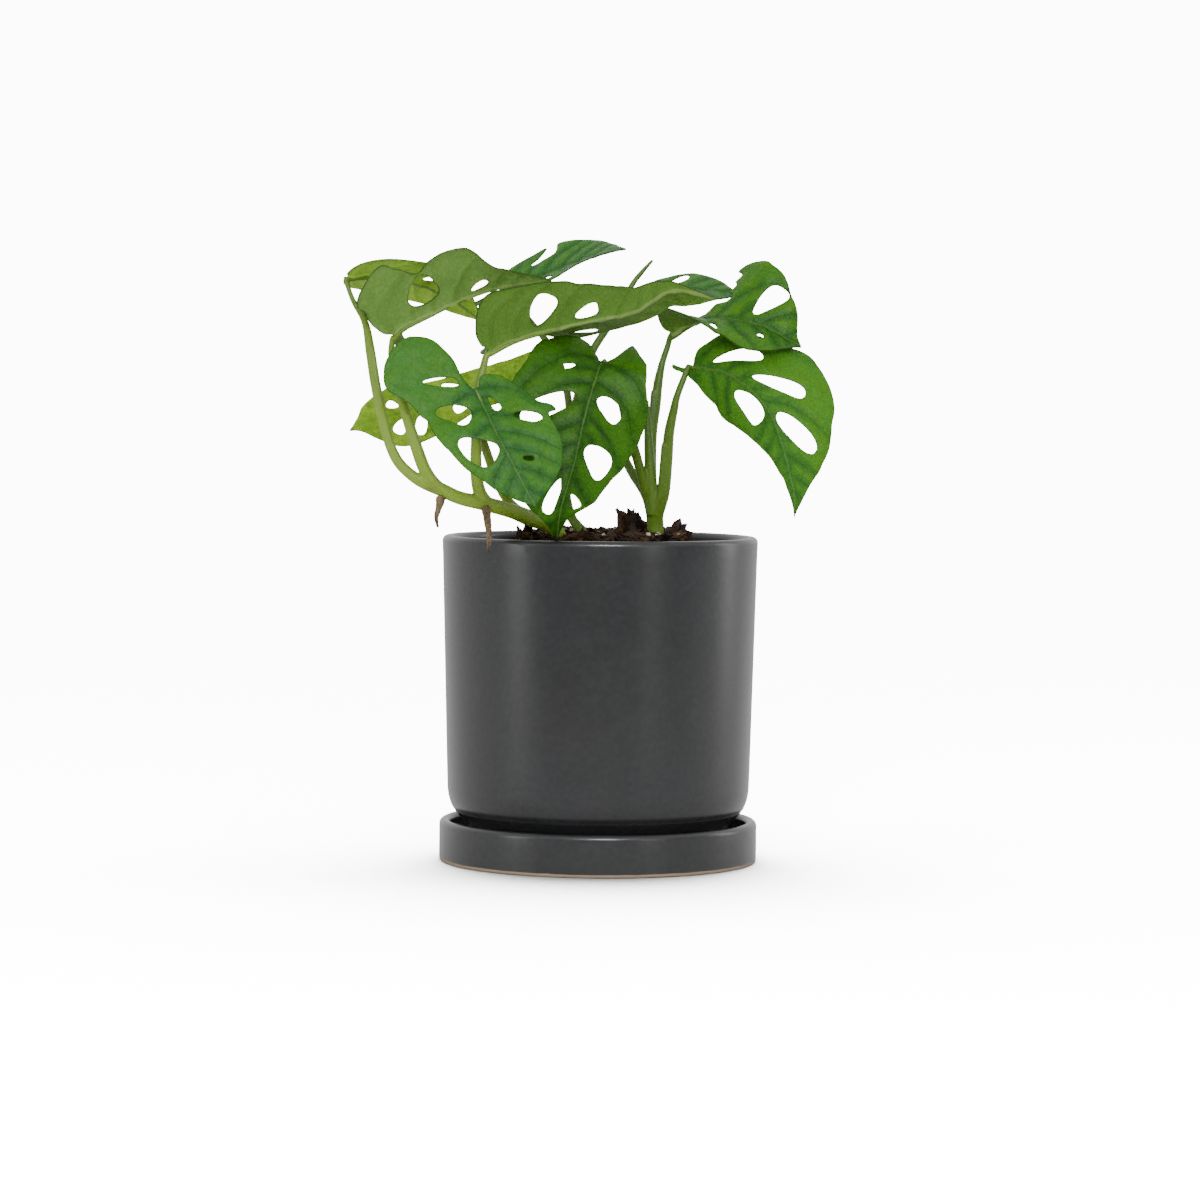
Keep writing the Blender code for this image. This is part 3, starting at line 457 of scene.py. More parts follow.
@dataclass(frozen=True)
class FloorFinish:
    """The pale studio floor, which the picture shows overexposed and yet lights like white paper.

    dark: the floor beyond the paper's front edge, which lies between near and far.
    shadow: the painted shadow colour that the camera sees on the paper in a narrow nook.
    reach: how far away a piece still darkens the paper with painted shadow.
    lean: how far the painted shadow leans towards the camera, as from a light behind.
    fades: the distances from the pot between which the paper turns into the backdrop.
    """

    pale: Colour = (0.8, 0.8, 0.8)
    dark: Colour = (0.08, 0.08, 0.08)
    seen: Colour = (8.5, 8.5, 8.5)
    shadow: Colour = (0.45, 0.45, 0.45)
    near: float = -0.3
    far: float = -0.75
    reach: float = 0.3
    lean: float = 0.55
    fades: tuple[float, float] = (0.4, 1.6)

    def build(self, name: str) -> bpy.types.Material:
        """Makes the finish."""
        graph = Graph(name)
        side, depth = graph.along(0), graph.along(1)
        paper = graph.mix(self.pale, self.dark, depth.fade(self.near, self.far))
        plain = graph.node("BsdfDiffuse", {"Color": paper})
        lean = graph.node("CombineXYZ", {0: 0.0, 1: self.lean, 2: 1.0 - self.lean})
        open_sky = {"Distance": self.reach, "Normal": lean.outputs[0]}
        # Painted shadow: ambient occlusion, leaning towards a light behind, darkens the paper that the
        # camera sees near and in front of the pot
        painted_shadow_ao = Wire(graph, graph.node("AmbientOcclusion", open_sky).outputs["AO"])
        lit = graph.mix(self.shadow, self.seen, painted_shadow_ao.fade(0.4, 0.97))
        bright = graph.node("BsdfDiffuse", {"Color": lit})
        white = graph.node("Emission", {"Color": WHITE, "Strength": BACKDROP})
        distance = (side * side + depth * depth) ** 0.5
        shares = {0: distance.fade(*self.fades), 1: bright.outputs[0], 2: white.outputs[0]}
        graph.seen(plain, graph.node("MixShader", shares))
        return graph.material


def deselect_all() -> None:
    """Leaves object mode with nothing selected, since a loaded node stays selected otherwise."""
    if bpy.context.object and bpy.context.object.mode != "OBJECT":
        bpy.ops.object.mode_set(mode="OBJECT")
    bpy.ops.object.select_all(action="DESELECT")


def pick(piece: bpy.types.Object) -> None:
    """Makes one piece the only one that is selected, and the active one."""
    deselect_all()
    piece.select_set(True)
    bpy.context.view_layer.objects.active = piece


def apply_modifiers(piece: bpy.types.Object) -> None:
    """Applies every modifier of a piece, in order."""
    pick(piece)
    for name in [modifier.name for modifier in piece.modifiers]:
        bpy.ops.object.modifier_apply(modifier=name)


def joined(pieces: list[bpy.types.Object], name: str) -> bpy.types.Object:
    """Joins pieces into one object.

    Args:
        pieces: the pieces, each with its own mesh.
        name: the joined object's name.

    Returns:
        The object, with its transform applied.
    """
    deselect_all()
    for piece in pieces:
        piece.select_set(True)
    bpy.context.view_layer.objects.active = pieces[0]
    bpy.ops.object.join()
    bpy.ops.object.transform_apply(location=True, rotation=True, scale=True)
    pieces[0].name = name
    return pieces[0]


def added(name: str, data: bpy.types.ID) -> bpy.types.Object:
    """Adds a mesh, a curve, a light or a camera to the scene as an object."""
    made = bpy.data.objects.new(name, data)
    bpy.context.scene.collection.objects.link(made)
    return made


def finish(piece: bpy.types.Object, material: bpy.types.Material, nodes: list[str]) -> None:
    """Dresses a finished piece and sets it on the frame.

    Args:
        piece: the piece, at the origin with its place in its mesh.
        material: its finish.
        nodes: the frame's nodes that it stands for, if any.
    """
    piece.data.materials.clear()
    piece.data.materials.append(material)
    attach(piece, BODY)
    if nodes:
        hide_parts(*nodes)
    log.info("%s: %d faces", piece.name, len(piece.data.polygons))


def keep_marks(mesh: bpy.types.Mesh, marks: dict[str, np.ndarray]) -> None:
    """Keeps numbers on a mesh's points, for its material to read.

    Args:
        mesh: the mesh.
        marks: each attribute's name to its values, one for each point.
    """
    for name, values in marks.items():
        layer = mesh.attributes.new(name, "FLOAT", "POINT")
        layer.data.foreach_set("value", np.asarray(values, np.float32))


def unit(vectors: np.ndarray) -> np.ndarray:
    """Rows of vectors, each made one long."""
    return vectors / np.linalg.norm(vectors, axis=-1, keepdims=True)


def between(where: np.ndarray, marks: np.ndarray, rows: np.ndarray) -> np.ndarray:
    """Rows of numbers at places between marks, each column on its own."""
    return np.stack([np.interp(where, marks, column) for column in np.transpose(rows)], -1)


def ramp(value: np.ndarray, reach: float) -> np.ndarray:
    """Rises evenly from 0 at 0 to 1 at the reach."""
    return np.clip(value / reach, 0.0, 1.0)


def bell(distance: np.ndarray, reach: float) -> np.ndarray:
    """Falls in a bell curve from 1 at 0, to about a third at the reach."""
    return np.exp(-((distance / reach) ** 2))


def smooth_path(points: list, step: float) -> np.ndarray:
    """Points about one step apart on a smooth curve through the given points.

    Args:
        points: the points, all with the same number of coordinates.
        step: the spacing.

    Returns:
        One row for each point, ends included.
    """
    pts = np.array(points, float)
    pts = np.vstack([2 * pts[0] - pts[1], pts, 2 * pts[-1] - pts[-2]])
    out = []
    for a, b, c, d in zip(pts, pts[1:], pts[2:], pts[3:]):
        parts = max(2, round(float(np.linalg.norm(c - b)) / step))
        for t in np.arange(parts) / parts:
            cubic = (3 * b - a - 3 * c + d) * t**3
            out.append(0.5 * (2 * b + (c - a) * t + (2 * a - 5 * b + 4 * c - d) * t * t + cubic))
    out.append(pts[-2])
    return np.array(out)


def arc(centre: tuple[float, float], radius: float, start: float, end: float, steps: int) -> list:
    """Points of an arc.

    Args:
        centre: its middle, as radius and height.
        radius: its radius.
        start: the angle where it starts, in degrees.
        end: the angle where it ends.
        steps: how many chords it has.

    Returns:
        The points, both ends included.
    """
    turns = [math.radians(start + (end - start) * i / steps) for i in range(steps + 1)]
    return [(centre[0] + radius * math.cos(t), centre[1] + radius * math.sin(t)) for t in turns]


def pinch() -> None:
    """Closes the selected ring with a disc whose faces meet in its middle."""
    bpy.ops.mesh.extrude_region_move(TRANSFORM_OT_translate={"value": (0.0, 0.0, 0.0)})
    bpy.ops.mesh.merge(type="CENTER")


def thrown(name: str, profile: list[tuple[float, float]], sides: int, closed: bool) -> bpy.types.Object:
    """Throws a pot as on a wheel: a ring is extruded along a profile, ring by ring.

    Args:
        name: the piece's name.
        profile: radius and height of each ring, in millimetres, inner bottom to outer bottom.
        sides: how many points a ring has.
        closed: whether the last ring joins the first. Otherwise both ends are closed by a disc.

    Returns:
        The piece, smooth and pointing outwards.
    """
    deselect_all()
    first = profile[0]
    spot = (0.0, 0.0, first[1] * MM)
    bpy.ops.mesh.primitive_circle_add(vertices=sides, radius=first[0] * MM, location=spot)
    piece = bpy.context.object
    piece.name = name
    bpy.ops.object.transform_apply(location=True, rotation=True, scale=True)
    bpy.ops.object.mode_set(mode="EDIT")
    bpy.ops.mesh.select_all(action="SELECT")
    if not closed:
        pinch()
        bpy.ops.mesh.select_all(action="DESELECT")
        bpy.ops.object.mode_set(mode="OBJECT")
        for vertex in piece.data.vertices:
            vertex.select = math.hypot(vertex.co.x, vertex.co.y) > first[0] * MM / 2
        bpy.ops.object.mode_set(mode="EDIT")
    before = first
    for ring in profile[1:]:
        rise = (0.0, 0.0, (ring[1] - before[1]) * MM)
        bpy.ops.mesh.extrude_region_move(TRANSFORM_OT_translate={"value": rise})
        wide = ring[0] / before[0]
        centre = (0.0, 0.0, ring[1] * MM)
        bpy.ops.transform.resize(value=(wide, wide, 1.0), center_override=centre)
        before = ring
    if not closed:
        pinch()
    bpy.ops.mesh.select_all(action="SELECT")
    bpy.ops.mesh.remove_doubles(threshold=WELD)
    bpy.ops.mesh.normals_make_consistent(inside=False)
    bpy.ops.object.mode_set(mode="OBJECT")
    pick(piece)
    bpy.ops.object.shade_smooth_by_angle(angle=math.radians(CERAMIC_CREASE))
    return piece


@dataclass(frozen=True)
class Hole:
    """A hole in a blade: its middle along and out from the rib, its length, width and lean.

    waves: how uneven its outline is, in two waves and in three.
    roundness: 1 for an oval and less for a box. fuller: how much wider its outer end is.
    """

    half: Half
    along: float
    out: float
    length: float
    width: float
    lean: float
    waves: tuple[float, float] = (0.06, 0.05)
    roundness: float = 0.82
    fuller: float = 0.25

    def outline(self, step: float) -> np.ndarray:
        """The hole's flat outline, between an oval and a box, a little fuller at its outer end.

        Args:
            step: about how far apart its points lie.

        Returns:
            One row for each point, along the rib and out from it, left positive.
        """
        count = max(9, round((self.length + self.width) * 1.5 / step))
        turn = np.arange(count) * 2 * math.pi / count
        two, three = self.waves
        wave = 1 + two * np.sin(2 * turn + self.along) + three * np.sin(3 * turn + self.out)
        a = self.length / 2 * wave * np.sign(np.cos(turn)) * np.abs(np.cos(turn)) ** self.roundness
        b = self.width / 2 * wave * np.sign(np.sin(turn)) * np.abs(np.sin(turn)) ** self.roundness
        b *= 1 + self.fuller * np.cos(turn)
        lean = math.radians(self.lean)
        along = self.along + a * math.cos(lean) - b * math.sin(lean)
        out = self.out + a * math.sin(lean) + b * math.cos(lean)
        return np.stack([along, out * self.half.value], 1)

    def foot(self) -> float:
        """Where the hole's own line meets the rib."""
        return self.along - self.out / math.tan(math.radians(max(self.lean, 25.0)))


@dataclass
class LeafBlade:
    """A leaf blade, drawn flat beside its rib and then bent along the rib's line in space.

    rib: points from the petiole to the tip. face: the way the upper side looks, base to tip.
    rise_left, rise_right: degrees that each half lifts off the flat, base to tip.
    left, right: margin points, each along the rib and out from it.
    start, sinus: where the margin begins, along the rib and out from it.
    waver: how far the margin strays. ripple: how often it and the blade swell, to a millimetre.
    keel_share: how much of the midrib has a keel.
    vein_lean: a side vein's lean at the base, and how much less it is at the tip, in degrees.
    vein_bend: how far a side vein bends to the tip, and how far it sags on its way.
    sink, groove, curl: how deep the veins, the midrib and the margin lie, each with its reach.
    swell: how high the blade puckers.
    """

    name: str
    rib: tuple
    face: tuple
    rise_left: tuple
    rise_right: tuple
    left: tuple
    right: tuple
    holes: tuple[Hole, ...] = ()
    half_width: float = 25.0
    look: LeafFinish = field(default_factory=LeafFinish)
    start: float = 0.9
    sinus: float = 1.3
    thickness: float = 0.55
    step: float = 1.0
    vein_gap: float = 8.5
    vein_lean: tuple[float, float] = (68.0, 28.0)
    vein_bend: tuple[float, float] = (0.55, 3.0)
    waver: float = 0.7
    ripple: float = 0.11
    keel_share: float = 0.5
    sink: tuple[float, float] = (0.42, 1.7)
    groove: tuple[float, float] = (0.45, 1.1)
    curl: tuple[float, float] = (0.5, 1.2)
    swell: float = 0.5

    def __post_init__(self) -> None:
        """Draws the rib's smooth line and measures it."""
        self.line = smooth_path(self.rib, 1.0)
        steps = np.linalg.norm(np.diff(self.line, axis=0), axis=1)
        self.run = np.concatenate([[0.0], np.cumsum(steps)])
        self.length = float(self.run[-1])

    def on_rib(self, along: np.ndarray) -> np.ndarray:
        """The rib's points at distances from its base."""
        return between(along, self.run, self.line)

    def axes(self, near: np.ndarray) -> tuple[np.ndarray, np.ndarray, np.ndarray]:
        """The directions along the rib, to its left and out of its upper side."""
        ahead = self.on_rib(np.clip(near + 0.6, 0.0, self.length))
        behind = self.on_rib(np.clip(near - 0.6, 0.0, self.length))
        tangent = unit(ahead - behind)
        facing = between(near / self.length, np.linspace(0.0, 1.0, len(self.face)), self.face)
        side = unit(np.cross(facing, tangent))
        return tangent, side, np.cross(tangent, side)

    def keel(self) -> np.ndarray:
        """The raised line under the midrib, which runs on from the petiole, as points with radii."""
        along = np.arange(0.4, self.length * self.keel_share, 1.5)
        radius = 1.1 - 0.6 * along / along[-1]
        _, _, upper = self.axes(along)
        return np.column_stack([self.on_rib(along) - upper * (radius + 0.45)[:, None], radius])

    def place(self, along: np.ndarray, out: np.ndarray) -> np.ndarray:
        """Bends flat points into space.

        Args:
            along: distances along the rib.
            out: distances out from it, left positive.

        Returns:
            One row for each point, in millimetres.
        """
        near = np.clip(along, 0.0, self.length)
        share = near / self.length
        tangent, side, upper = self.axes(near)
        rises = []
        for values in (self.rise_left, self.rise_right):
            rises.append(np.interp(share, np.linspace(0.0, 1.0, len(values)), values))
        rise = np.radians(np.where(out >= 0.0, rises[0], rises[1]))
        middle = self.on_rib(near) + tangent * (along - near)[..., None]
        lift = np.abs(out) * np.sin(rise)
        return middle + side * (out * np.cos(rise))[..., None] + upper * lift[..., None]

    def outline(self) -> np.ndarray:
        """The closed flat outline: left margin from the sinus to the tip, right margin back."""
        base = (self.start, self.sinus)
        tip = (self.length, 0.0)
        left = smooth_path([base, *self.left, tip], self.step)
        right = smooth_path([base, *self.right, tip], self.step) * (1.0, -1.0)
        ring = np.vstack([left, right[::-1][1:]])
        ahead = np.roll(ring, -1, axis=0) - np.roll(ring, 1, axis=0)
        across = unit(np.stack([ahead[:, 1], -ahead[:, 0]], 1))
        calm = ramp(np.abs(ring[:, 1]), 4.0)
        wave = [
            noise.fractal(Vector((x, y, self.length)) * self.ripple, 1.0, 2.0, 2) for x, y in ring
        ]
        return ring + across * (self.waver * np.array(wave) * calm)[:, None]

    def veins(self, half: Half) -> list[np.ndarray]:
        """The side veins of one half, which pass between its holes and sweep towards the tip.

        Args:
            half: which half.

        Returns:
            One flat line for each vein.
        """
        feet = sorted((h.foot(), h.lean) for h in self.holes if h.half is half)
        feet = [(max(-2.0, min(foot, self.length * 0.9)), lean) for foot, lean in feet]
        marks = [-1.5, *[foot for foot, _ in feet], self.length * 0.93]
        starts = []
        for low, high in zip(marks, marks[1:]):
            parts = max(1, round((high - low) / self.vein_gap))
            starts += [low + (high - low) * (i + 0.5) / parts for i in range(parts)]
        lines = []
        out = np.arange(0.0, self.half_width * 1.5, self.step)
        for start in starts:
            share = min(1.0, max(0.0, start / self.length))
            lean = self.vein_lean[0] - self.vein_lean[1] * share
            slope = 1.0 / math.tan(math.radians(lean))
            reach = self.half_width * (1.1 - 0.4 * share)
            sweep = self.vein_bend[0] * reach * (out / reach) ** 3
            sweep -= self.vein_bend[1] * (1 - share) * np.sin(np.pi * out / reach)
            lines.append(np.stack([max(start, 1.5) + slope * out + sweep, out * half.value], 1))
        return lines

    def build(self) -> bpy.types.Object:
        """Cuts the blade flat, bends it, raises its relief and gives it its thickness.

        The flat sheet comes from a constrained triangulation, because primitives and edit
        operators don't give an open margin with holes and a point on every vein.

        Returns:
            The blade.
        """
        outline = self.outline()
        holes = [hole.outline(self.step) for hole in self.holes]
        rib = np.arange(self.start + self.step, self.length - 0.4, self.step)
        rib = np.stack([rib, 0.0 * rib], 1)
        edge_points = np.vstack([outline, *holes])
        edge_tree = tree_of(edge_points)
        veins = []
        for line in self.veins(Half.LEFT) + self.veins(Half.RIGHT):
            clear = distances(line, edge_tree) > self.step * CLEAR_OF_EDGE
            clear &= np.abs(line[:, 1]) > self.step * CLEAR_OF_RIB
            kept = on_sheet(line, outline, holes) & clear
            stop = int(np.argmin(kept[1:])) + 1 if not kept[1:].all() else len(line)
            if stop > 3:
                veins.append(line[1:stop])
        drawn = np.vstack([edge_points, rib, *veins])
        points = np.vstack([drawn, self.field(outline, holes, drawn)])
        edges = []
        start = 0
        for ring in [outline, *holes]:
            edges += [(start + i, start + (i + 1) % len(ring)) for i in range(len(ring))]
            start += len(ring)
        for line in [rib, *veins]:
            edges += [(start + i, start + i + 1) for i in range(len(line) - 1)]
            start += len(line)
        flat = [Vector(p) for p in points.tolist()]
        found, _, faces, _, _, _ = delaunay_2d_cdt(flat, edges, [], 0, 0.0001)
        spots = np.array([tuple(v) for v in found])
        keep = on_sheet(spots[np.array(faces)].mean(1), outline, holes)
        faces = [face for face, good in zip(faces, keep) if good]
        used = sorted({i for face in faces for i in face})
        order = {old: new for new, old in enumerate(used)}
        faces = [tuple(order[i] for i in face) for face in faces]
        return self.solid(spots[used], faces, veins, edge_tree)

    def field(self, outline: np.ndarray, holes: list, drawn: np.ndarray) -> np.ndarray:
        """Points spread evenly over the blade, clear of everything that is drawn on it.

        Args:
            outline: the flat outline.
            holes: the holes' outlines.
            drawn: the points of all lines.

        Returns:
            The points.
        """
        low, high = outline.min(0), outline.max(0)
        found = []
        for number, row in enumerate(np.arange(low[1], high[1], self.step * 0.87)):
            shift = self.step / 2 * (number % 2)
            found += [(x, row) for x in np.arange(low[0] + shift, high[0], self.step)]
        found = np.array(found)
        found = found[on_sheet(found, outline, holes)]
        return found[distances(found, tree_of(drawn)) > self.step * CLEAR_OF_LINES]

    def solid(self, spots: np.ndarray, faces: list, veins: list, edge_tree: KDTree) -> bpy.types.Object:
        """Bends the flat sheet, sinks its veins, thickens it and keeps its marks.

        Args:
            spots: the flat points.
            faces: the sheet's triangles.
            veins: the side veins' lines.
            edge_tree: the points of the margin and the holes.

        Returns:
            The blade.
        """
        along, out = spots[:, 0], spots[:, 1]
        vein = distances(spots, tree_of(np.vstack(veins)))
        edge = distances(spots, edge_tree)
        rib = np.abs(out)
        ahead = self.place(along + 0.4, out) - self.place(along - 0.4, out)
        aside = self.place(along, out + 0.4) - self.place(along, out - 0.4)
        upper = unit(np.cross(ahead, aside))
        share = ramp(along, self.length)
        sunk = self.sink[0] * bell(vein, self.sink[1]) * ramp(edge, 4.0)
        groove = self.groove[0] * bell(rib, self.groove[1]) * (1 - 0.6 * share)
        curl = self.curl[0] * bell(edge, self.curl[1]) * ramp(rib, 4.0)
        seeds = [noise.noise(Vector((*spot, self.length))) for spot in spots * self.ripple]
        relief = self.swell * np.array(seeds) * ramp(edge, 5.0) - sunk - groove - curl
        placed = (self.place(along, out) + upper * relief[:, None]) * MM
        mesh = bpy.data.meshes.new(self.name)
        mesh.from_pydata(placed.tolist(), [], faces)
        keep_marks(mesh, {"vein": vein, "rib": rib, "edge": edge, "under": np.zeros(len(spots))})
        blade = added(self.name + "_blade", mesh)
        thick = blade.vertex_groups.new(name="thick")
        swollen = bell(rib, 0.8) * (1 - 0.65 * share) + 0.25 * bell(vein, 0.6)
        for index, value in enumerate(np.clip(0.4 + 0.6 * swollen, 0.0, 1.0)):
            thick.add([index], float(value), "REPLACE")
        # The weight is 0.4 between the veins, so 2.5 times the thickness gives it there
        skin = blade.modifiers.new("thickness", "SOLIDIFY")
        skin.thickness = self.thickness * 2.5 * MM
        skin.offset = -1.0
        skin.use_even_offset = False
        skin.vertex_group = "thick"
        apply_modifiers(blade)
        side = np.zeros(len(blade.data.vertices), np.float32)
        side[len(spots):] = 1.0
        blade.data.attributes["under"].data.foreach_set("value", side)
        pick(blade)
        bpy.ops.object.shade_smooth_by_angle(angle=math.radians(BLADE_CREASE))
        return blade

    def dress(self) -> None:
        """Builds the blade and sets it on the frame in its node's place."""
        material = self.look.build(self.name + "_leaf")
        finish(self.build(), material, [self.name])


def tree_of(points: np.ndarray) -> KDTree:
    """A search tree of points. Flat ones lie at height 0, and a radius is left out."""
    tree = KDTree(len(points))
    for index, point in enumerate(points):
        tree.insert((*point, 0.0)[:3], index)
    tree.balance()
    return tree


def distances(points: np.ndarray, tree: KDTree) -> np.ndarray:
    """How far each flat point lies from the nearest point of a tree."""
    return np.array([tree.find((*point, 0.0))[2] for point in points])


def within(points: np.ndarray, ring: np.ndarray) -> np.ndarray:
    """Which flat points lie inside a closed ring.

    Args:
        points: the points.
        ring: the ring's corners.

    Returns:
        A truth value for each point.
    """
    x, y = points[:, 0:1], points[:, 1:2]
    a, b = ring, np.roll(ring, -1, axis=0)
    spans = (a[:, 1] > y) != (b[:, 1] > y)
    rise = np.where(b[:, 1] == a[:, 1], 1e-9, b[:, 1] - a[:, 1])
    crosses = x < (b[:, 0] - a[:, 0]) * (y - a[:, 1]) / rise + a[:, 0]
    return (spans & crosses).sum(1) % 2 == 1


def on_sheet(points: np.ndarray, outline: np.ndarray, holes: list[np.ndarray]) -> np.ndarray:
    """Which flat points lie inside an outline and outside all of its holes."""
    cut = [within(points, hole) for hole in holes]
    return within(points, outline) & ~np.any(cut, axis=0)


@dataclass(frozen=True)
class Stalk:
    """A round stalk through points in space, with its radius at each point.

    sheath: how far up its winged sheath reaches, as a share of its length, 0 for none.
    side: the way the sheath's open edge looks.
    leaf: the blade that it bears, if any.
    """

    points: tuple
    radii: tuple
    sheath: float = 0.0
    side: Point = (0.0, -1.0, 0.0)
    leaf: str = ""

    def path(self, step: float, extra: float = 0.0) -> np.ndarray:
        """Points along the stalk, each with its radius and the extra, about one step apart."""
        return smooth_path([tuple(p) + (r + extra,) for p, r in zip(self.points, self.radii)], step)

    def wing(self, step: float) -> np.ndarray:
        """The sheath's edge: a thinner line that hugs the stalk and ends at a shoulder.

        Args:
            step: the spacing.

        Returns:
            Points with radii, as path gives them.
        """
        line = self.path(step)
        line = line[: max(4, int(len(line) * self.sheath))]
        share = np.linspace(0.0, 1.0, len(line))
        out = np.array(self.side) / np.linalg.norm(self.side)
        wing = line.copy()
        wing[:, :3] += out * (line[:, 3] * (0.6 + 0.4 * share))[:, None]
        wing[:, 3] = line[:, 3] * (0.72 - 0.2 * share) + 0.15
        return wing


@dataclass
class Stem:
    """A stem with its petioles, grown together into one skin.

    scars: the joints' places, each with the reach of its worn ring.
    keels: each borne blade's raised rib.
    loss: what smoothing takes off a radius, which each stalk gets in advance.
    """

    name: str
    stalks: tuple[Stalk, ...]
    scars: tuple = ()
    keels: dict = field(default_factory=dict)
    step: float = 1.5
    voxel: float = 0.42
    loss: float = 0.22
    look: StemFinish = field(default_factory=StemFinish)

    def tube(self, path: np.ndarray, number: int) -> bpy.types.Object:
        """Sweeps one round tube along a path.

        Args:
            path: points with radii, in millimetres.
            number: the tube's number, for its name.

        Returns:
            The tube as a mesh.
        """
        curve = bpy.data.curves.new(f"{self.name}_{number}", "CURVE")
        curve.dimensions = "3D"
        curve.bevel_depth = MM
        curve.bevel_resolution = 4
        curve.use_fill_caps = True
        spline = curve.splines.new("POLY")
        spline.points.add(len(path) - 1)
        for point, (x, y, z, radius) in zip(spline.points, path):
            point.co = (x * MM, y * MM, z * MM, 1.0)
            point.radius = radius
        pick(added(curve.name, curve))
        bpy.ops.object.convert(target="MESH")
        return bpy.context.object

    def build(self) -> bpy.types.Object:
        """Sweeps the stalks and their sheaths and grows one skin over them.

        Returns:
            The stem, with its marks.
        """
        paths = [stalk.path(self.step, self.loss) for stalk in self.stalks]
        for number, stalk in enumerate(self.stalks):
            if stalk.leaf:
                paths[number] = np.vstack([paths[number], self.keels[stalk.leaf]])
        wings = [stalk.wing(self.step) for stalk in self.stalks if stalk.sheath > 0.0]
        tubes = [self.tube(path, number) for number, path in enumerate(paths + wings)]
        stem = joined(tubes, self.name + "_stem")
        skin = stem.modifiers.new("skin", "REMESH")
        skin.mode = "VOXEL"
        skin.voxel_size = self.voxel * MM
        skin.use_smooth_shade = True
        soft = stem.modifiers.new("soft", "SMOOTH")
        soft.factor = 0.5
        soft.iterations = 5
        apply_modifiers(stem)
        spots = np.zeros(len(stem.data.vertices) * 3)
        stem.data.vertices.foreach_get("co", spots)
        spots = spots.reshape(-1, 3) / MM
        keep_marks(stem.data, {"ripe": self.ripe(spots, paths), "scar": self.scarred(spots)})
        return stem

    def ripe(self, spots: np.ndarray, paths: list) -> np.ndarray:
        """How far up its petiole each point lies.

        Args:
            spots: the skin's points, in millimetres.
            paths: the stalks' paths. The first is the stem itself.

        Returns:
            0 on the stem, up to 1 at a blade.
        """
        tree = tree_of(np.vstack(paths))
        shares = [np.linspace(0.0, 0.1, len(paths[0]))]
        shares += [np.linspace(0.05, 1.0, len(path)) for path in paths[1:]]
        values = np.concatenate(shares)
        return np.array([np.mean([values[hit[1]] for hit in tree.find_n(spot, 4)]) for spot in spots])

    def scarred(self, spots: np.ndarray) -> np.ndarray:
        """How worn each point is, from 0 to 1, by its distance to the joints."""
        worn = np.zeros(len(spots))
        for centre, reach in self.scars:
            away = np.linalg.norm(spots - np.array(centre), axis=1)
            worn = np.maximum(worn, bell(away, reach))
        return worn

    def dress(self) -> None:
        """Builds the stem and sets it on the frame in its node's place."""
        finish(self.build(), self.look.build(self.name + "_skin"), [self.name])


@dataclass
class AerialRoot:
    """An aerial root: a tapered, slightly crooked tube that hangs from a joint.

    crook: how uneven its skin is, against its radius.
    swell: how much thicker it is at the joint, against its radius there.
    """

    name: str
    stalk: Stalk
    step: float = 0.7
    crook: float = 0.22
    swell: float = 0.3
    look: RootFinish = field(default_factory=RootFinish)

    def build(self) -> bpy.types.Object:
        """Sweeps the root and roughens its skin.

        Returns:
            The root, with its marks.
        """
        path = self.stalk.path(self.step)
        root = Stem(self.name, ()).tube(path, 0)
        root.name = self.name + "_root"
        fine = root.modifiers.new("fine", "SUBSURF")
        fine.levels = 1
        apply_modifiers(root)
        tree = tree_of(path)
        ripe = []
        for vertex in root.data.vertices:
            spot = vertex.co / MM
            index = tree.find(spot)[1]
            ripe.append(index / (len(path) - 1))
            spoke = spot - Vector(path[index][:3])
            rough = noise.noise(Vector((spot.x * 1.6, spot.y * 1.6, spot.z * 0.35)))
            vertex.co += spoke * (self.crook * rough + self.swell * (1.0 - ripe[-1])) * MM
        keep_marks(root.data, {"ripe": np.array(ripe)})
        pick(root)
        bpy.ops.object.shade_smooth()
        return root

    def dress(self) -> None:
        """Builds the root and sets it on the frame in its node's place."""
        finish(self.build(), self.look.build(self.name + "_bark"), [self.name])


@dataclass
class Saucer:
    """The shallow dish under the pot, with a narrow band of bare clay at the ground."""

    radius: float = 65.6
    height: float = 17.0
    wall: float = 4.5
    floor: float = 6.2
    chamfer: float = 1.2
    inner_round: float = 4.0
    sides: int = 192

    def profile(self) -> list[tuple[float, float]]:
        """Radius and height of each ring, from the middle of the dish over the lip to the foot."""
        inner = self.radius - self.wall
        half = self.wall / 2
        points = [(3.0, self.floor), (30.0, self.floor)]
        corner = (inner - self.inner_round, self.floor + self.inner_round)
        points += arc(corner, self.inner_round, -90, 0, 8)
        points += arc((inner + half, self.height - half), half, 180, 0, 18)
        points += [(self.radius, 10.0), (self.radius, 5.0), (self.radius, self.chamfer + 0.4)]
        points += arc((self.radius - self.chamfer, self.chamfer), self.chamfer, 0, -80, 5)
        points += [(self.radius - self.chamfer - 0.4, 0.0), (30.0, 0.0), (3.0, 0.0)]
        return points

    def dress(self) -> None:
        """Throws the saucer and glazes it."""
        piece = thrown("saucer_dish", self.profile(), self.sides, False)
        finish(piece, GlazeFinish().build("saucer_glaze", True), ["saucer"])


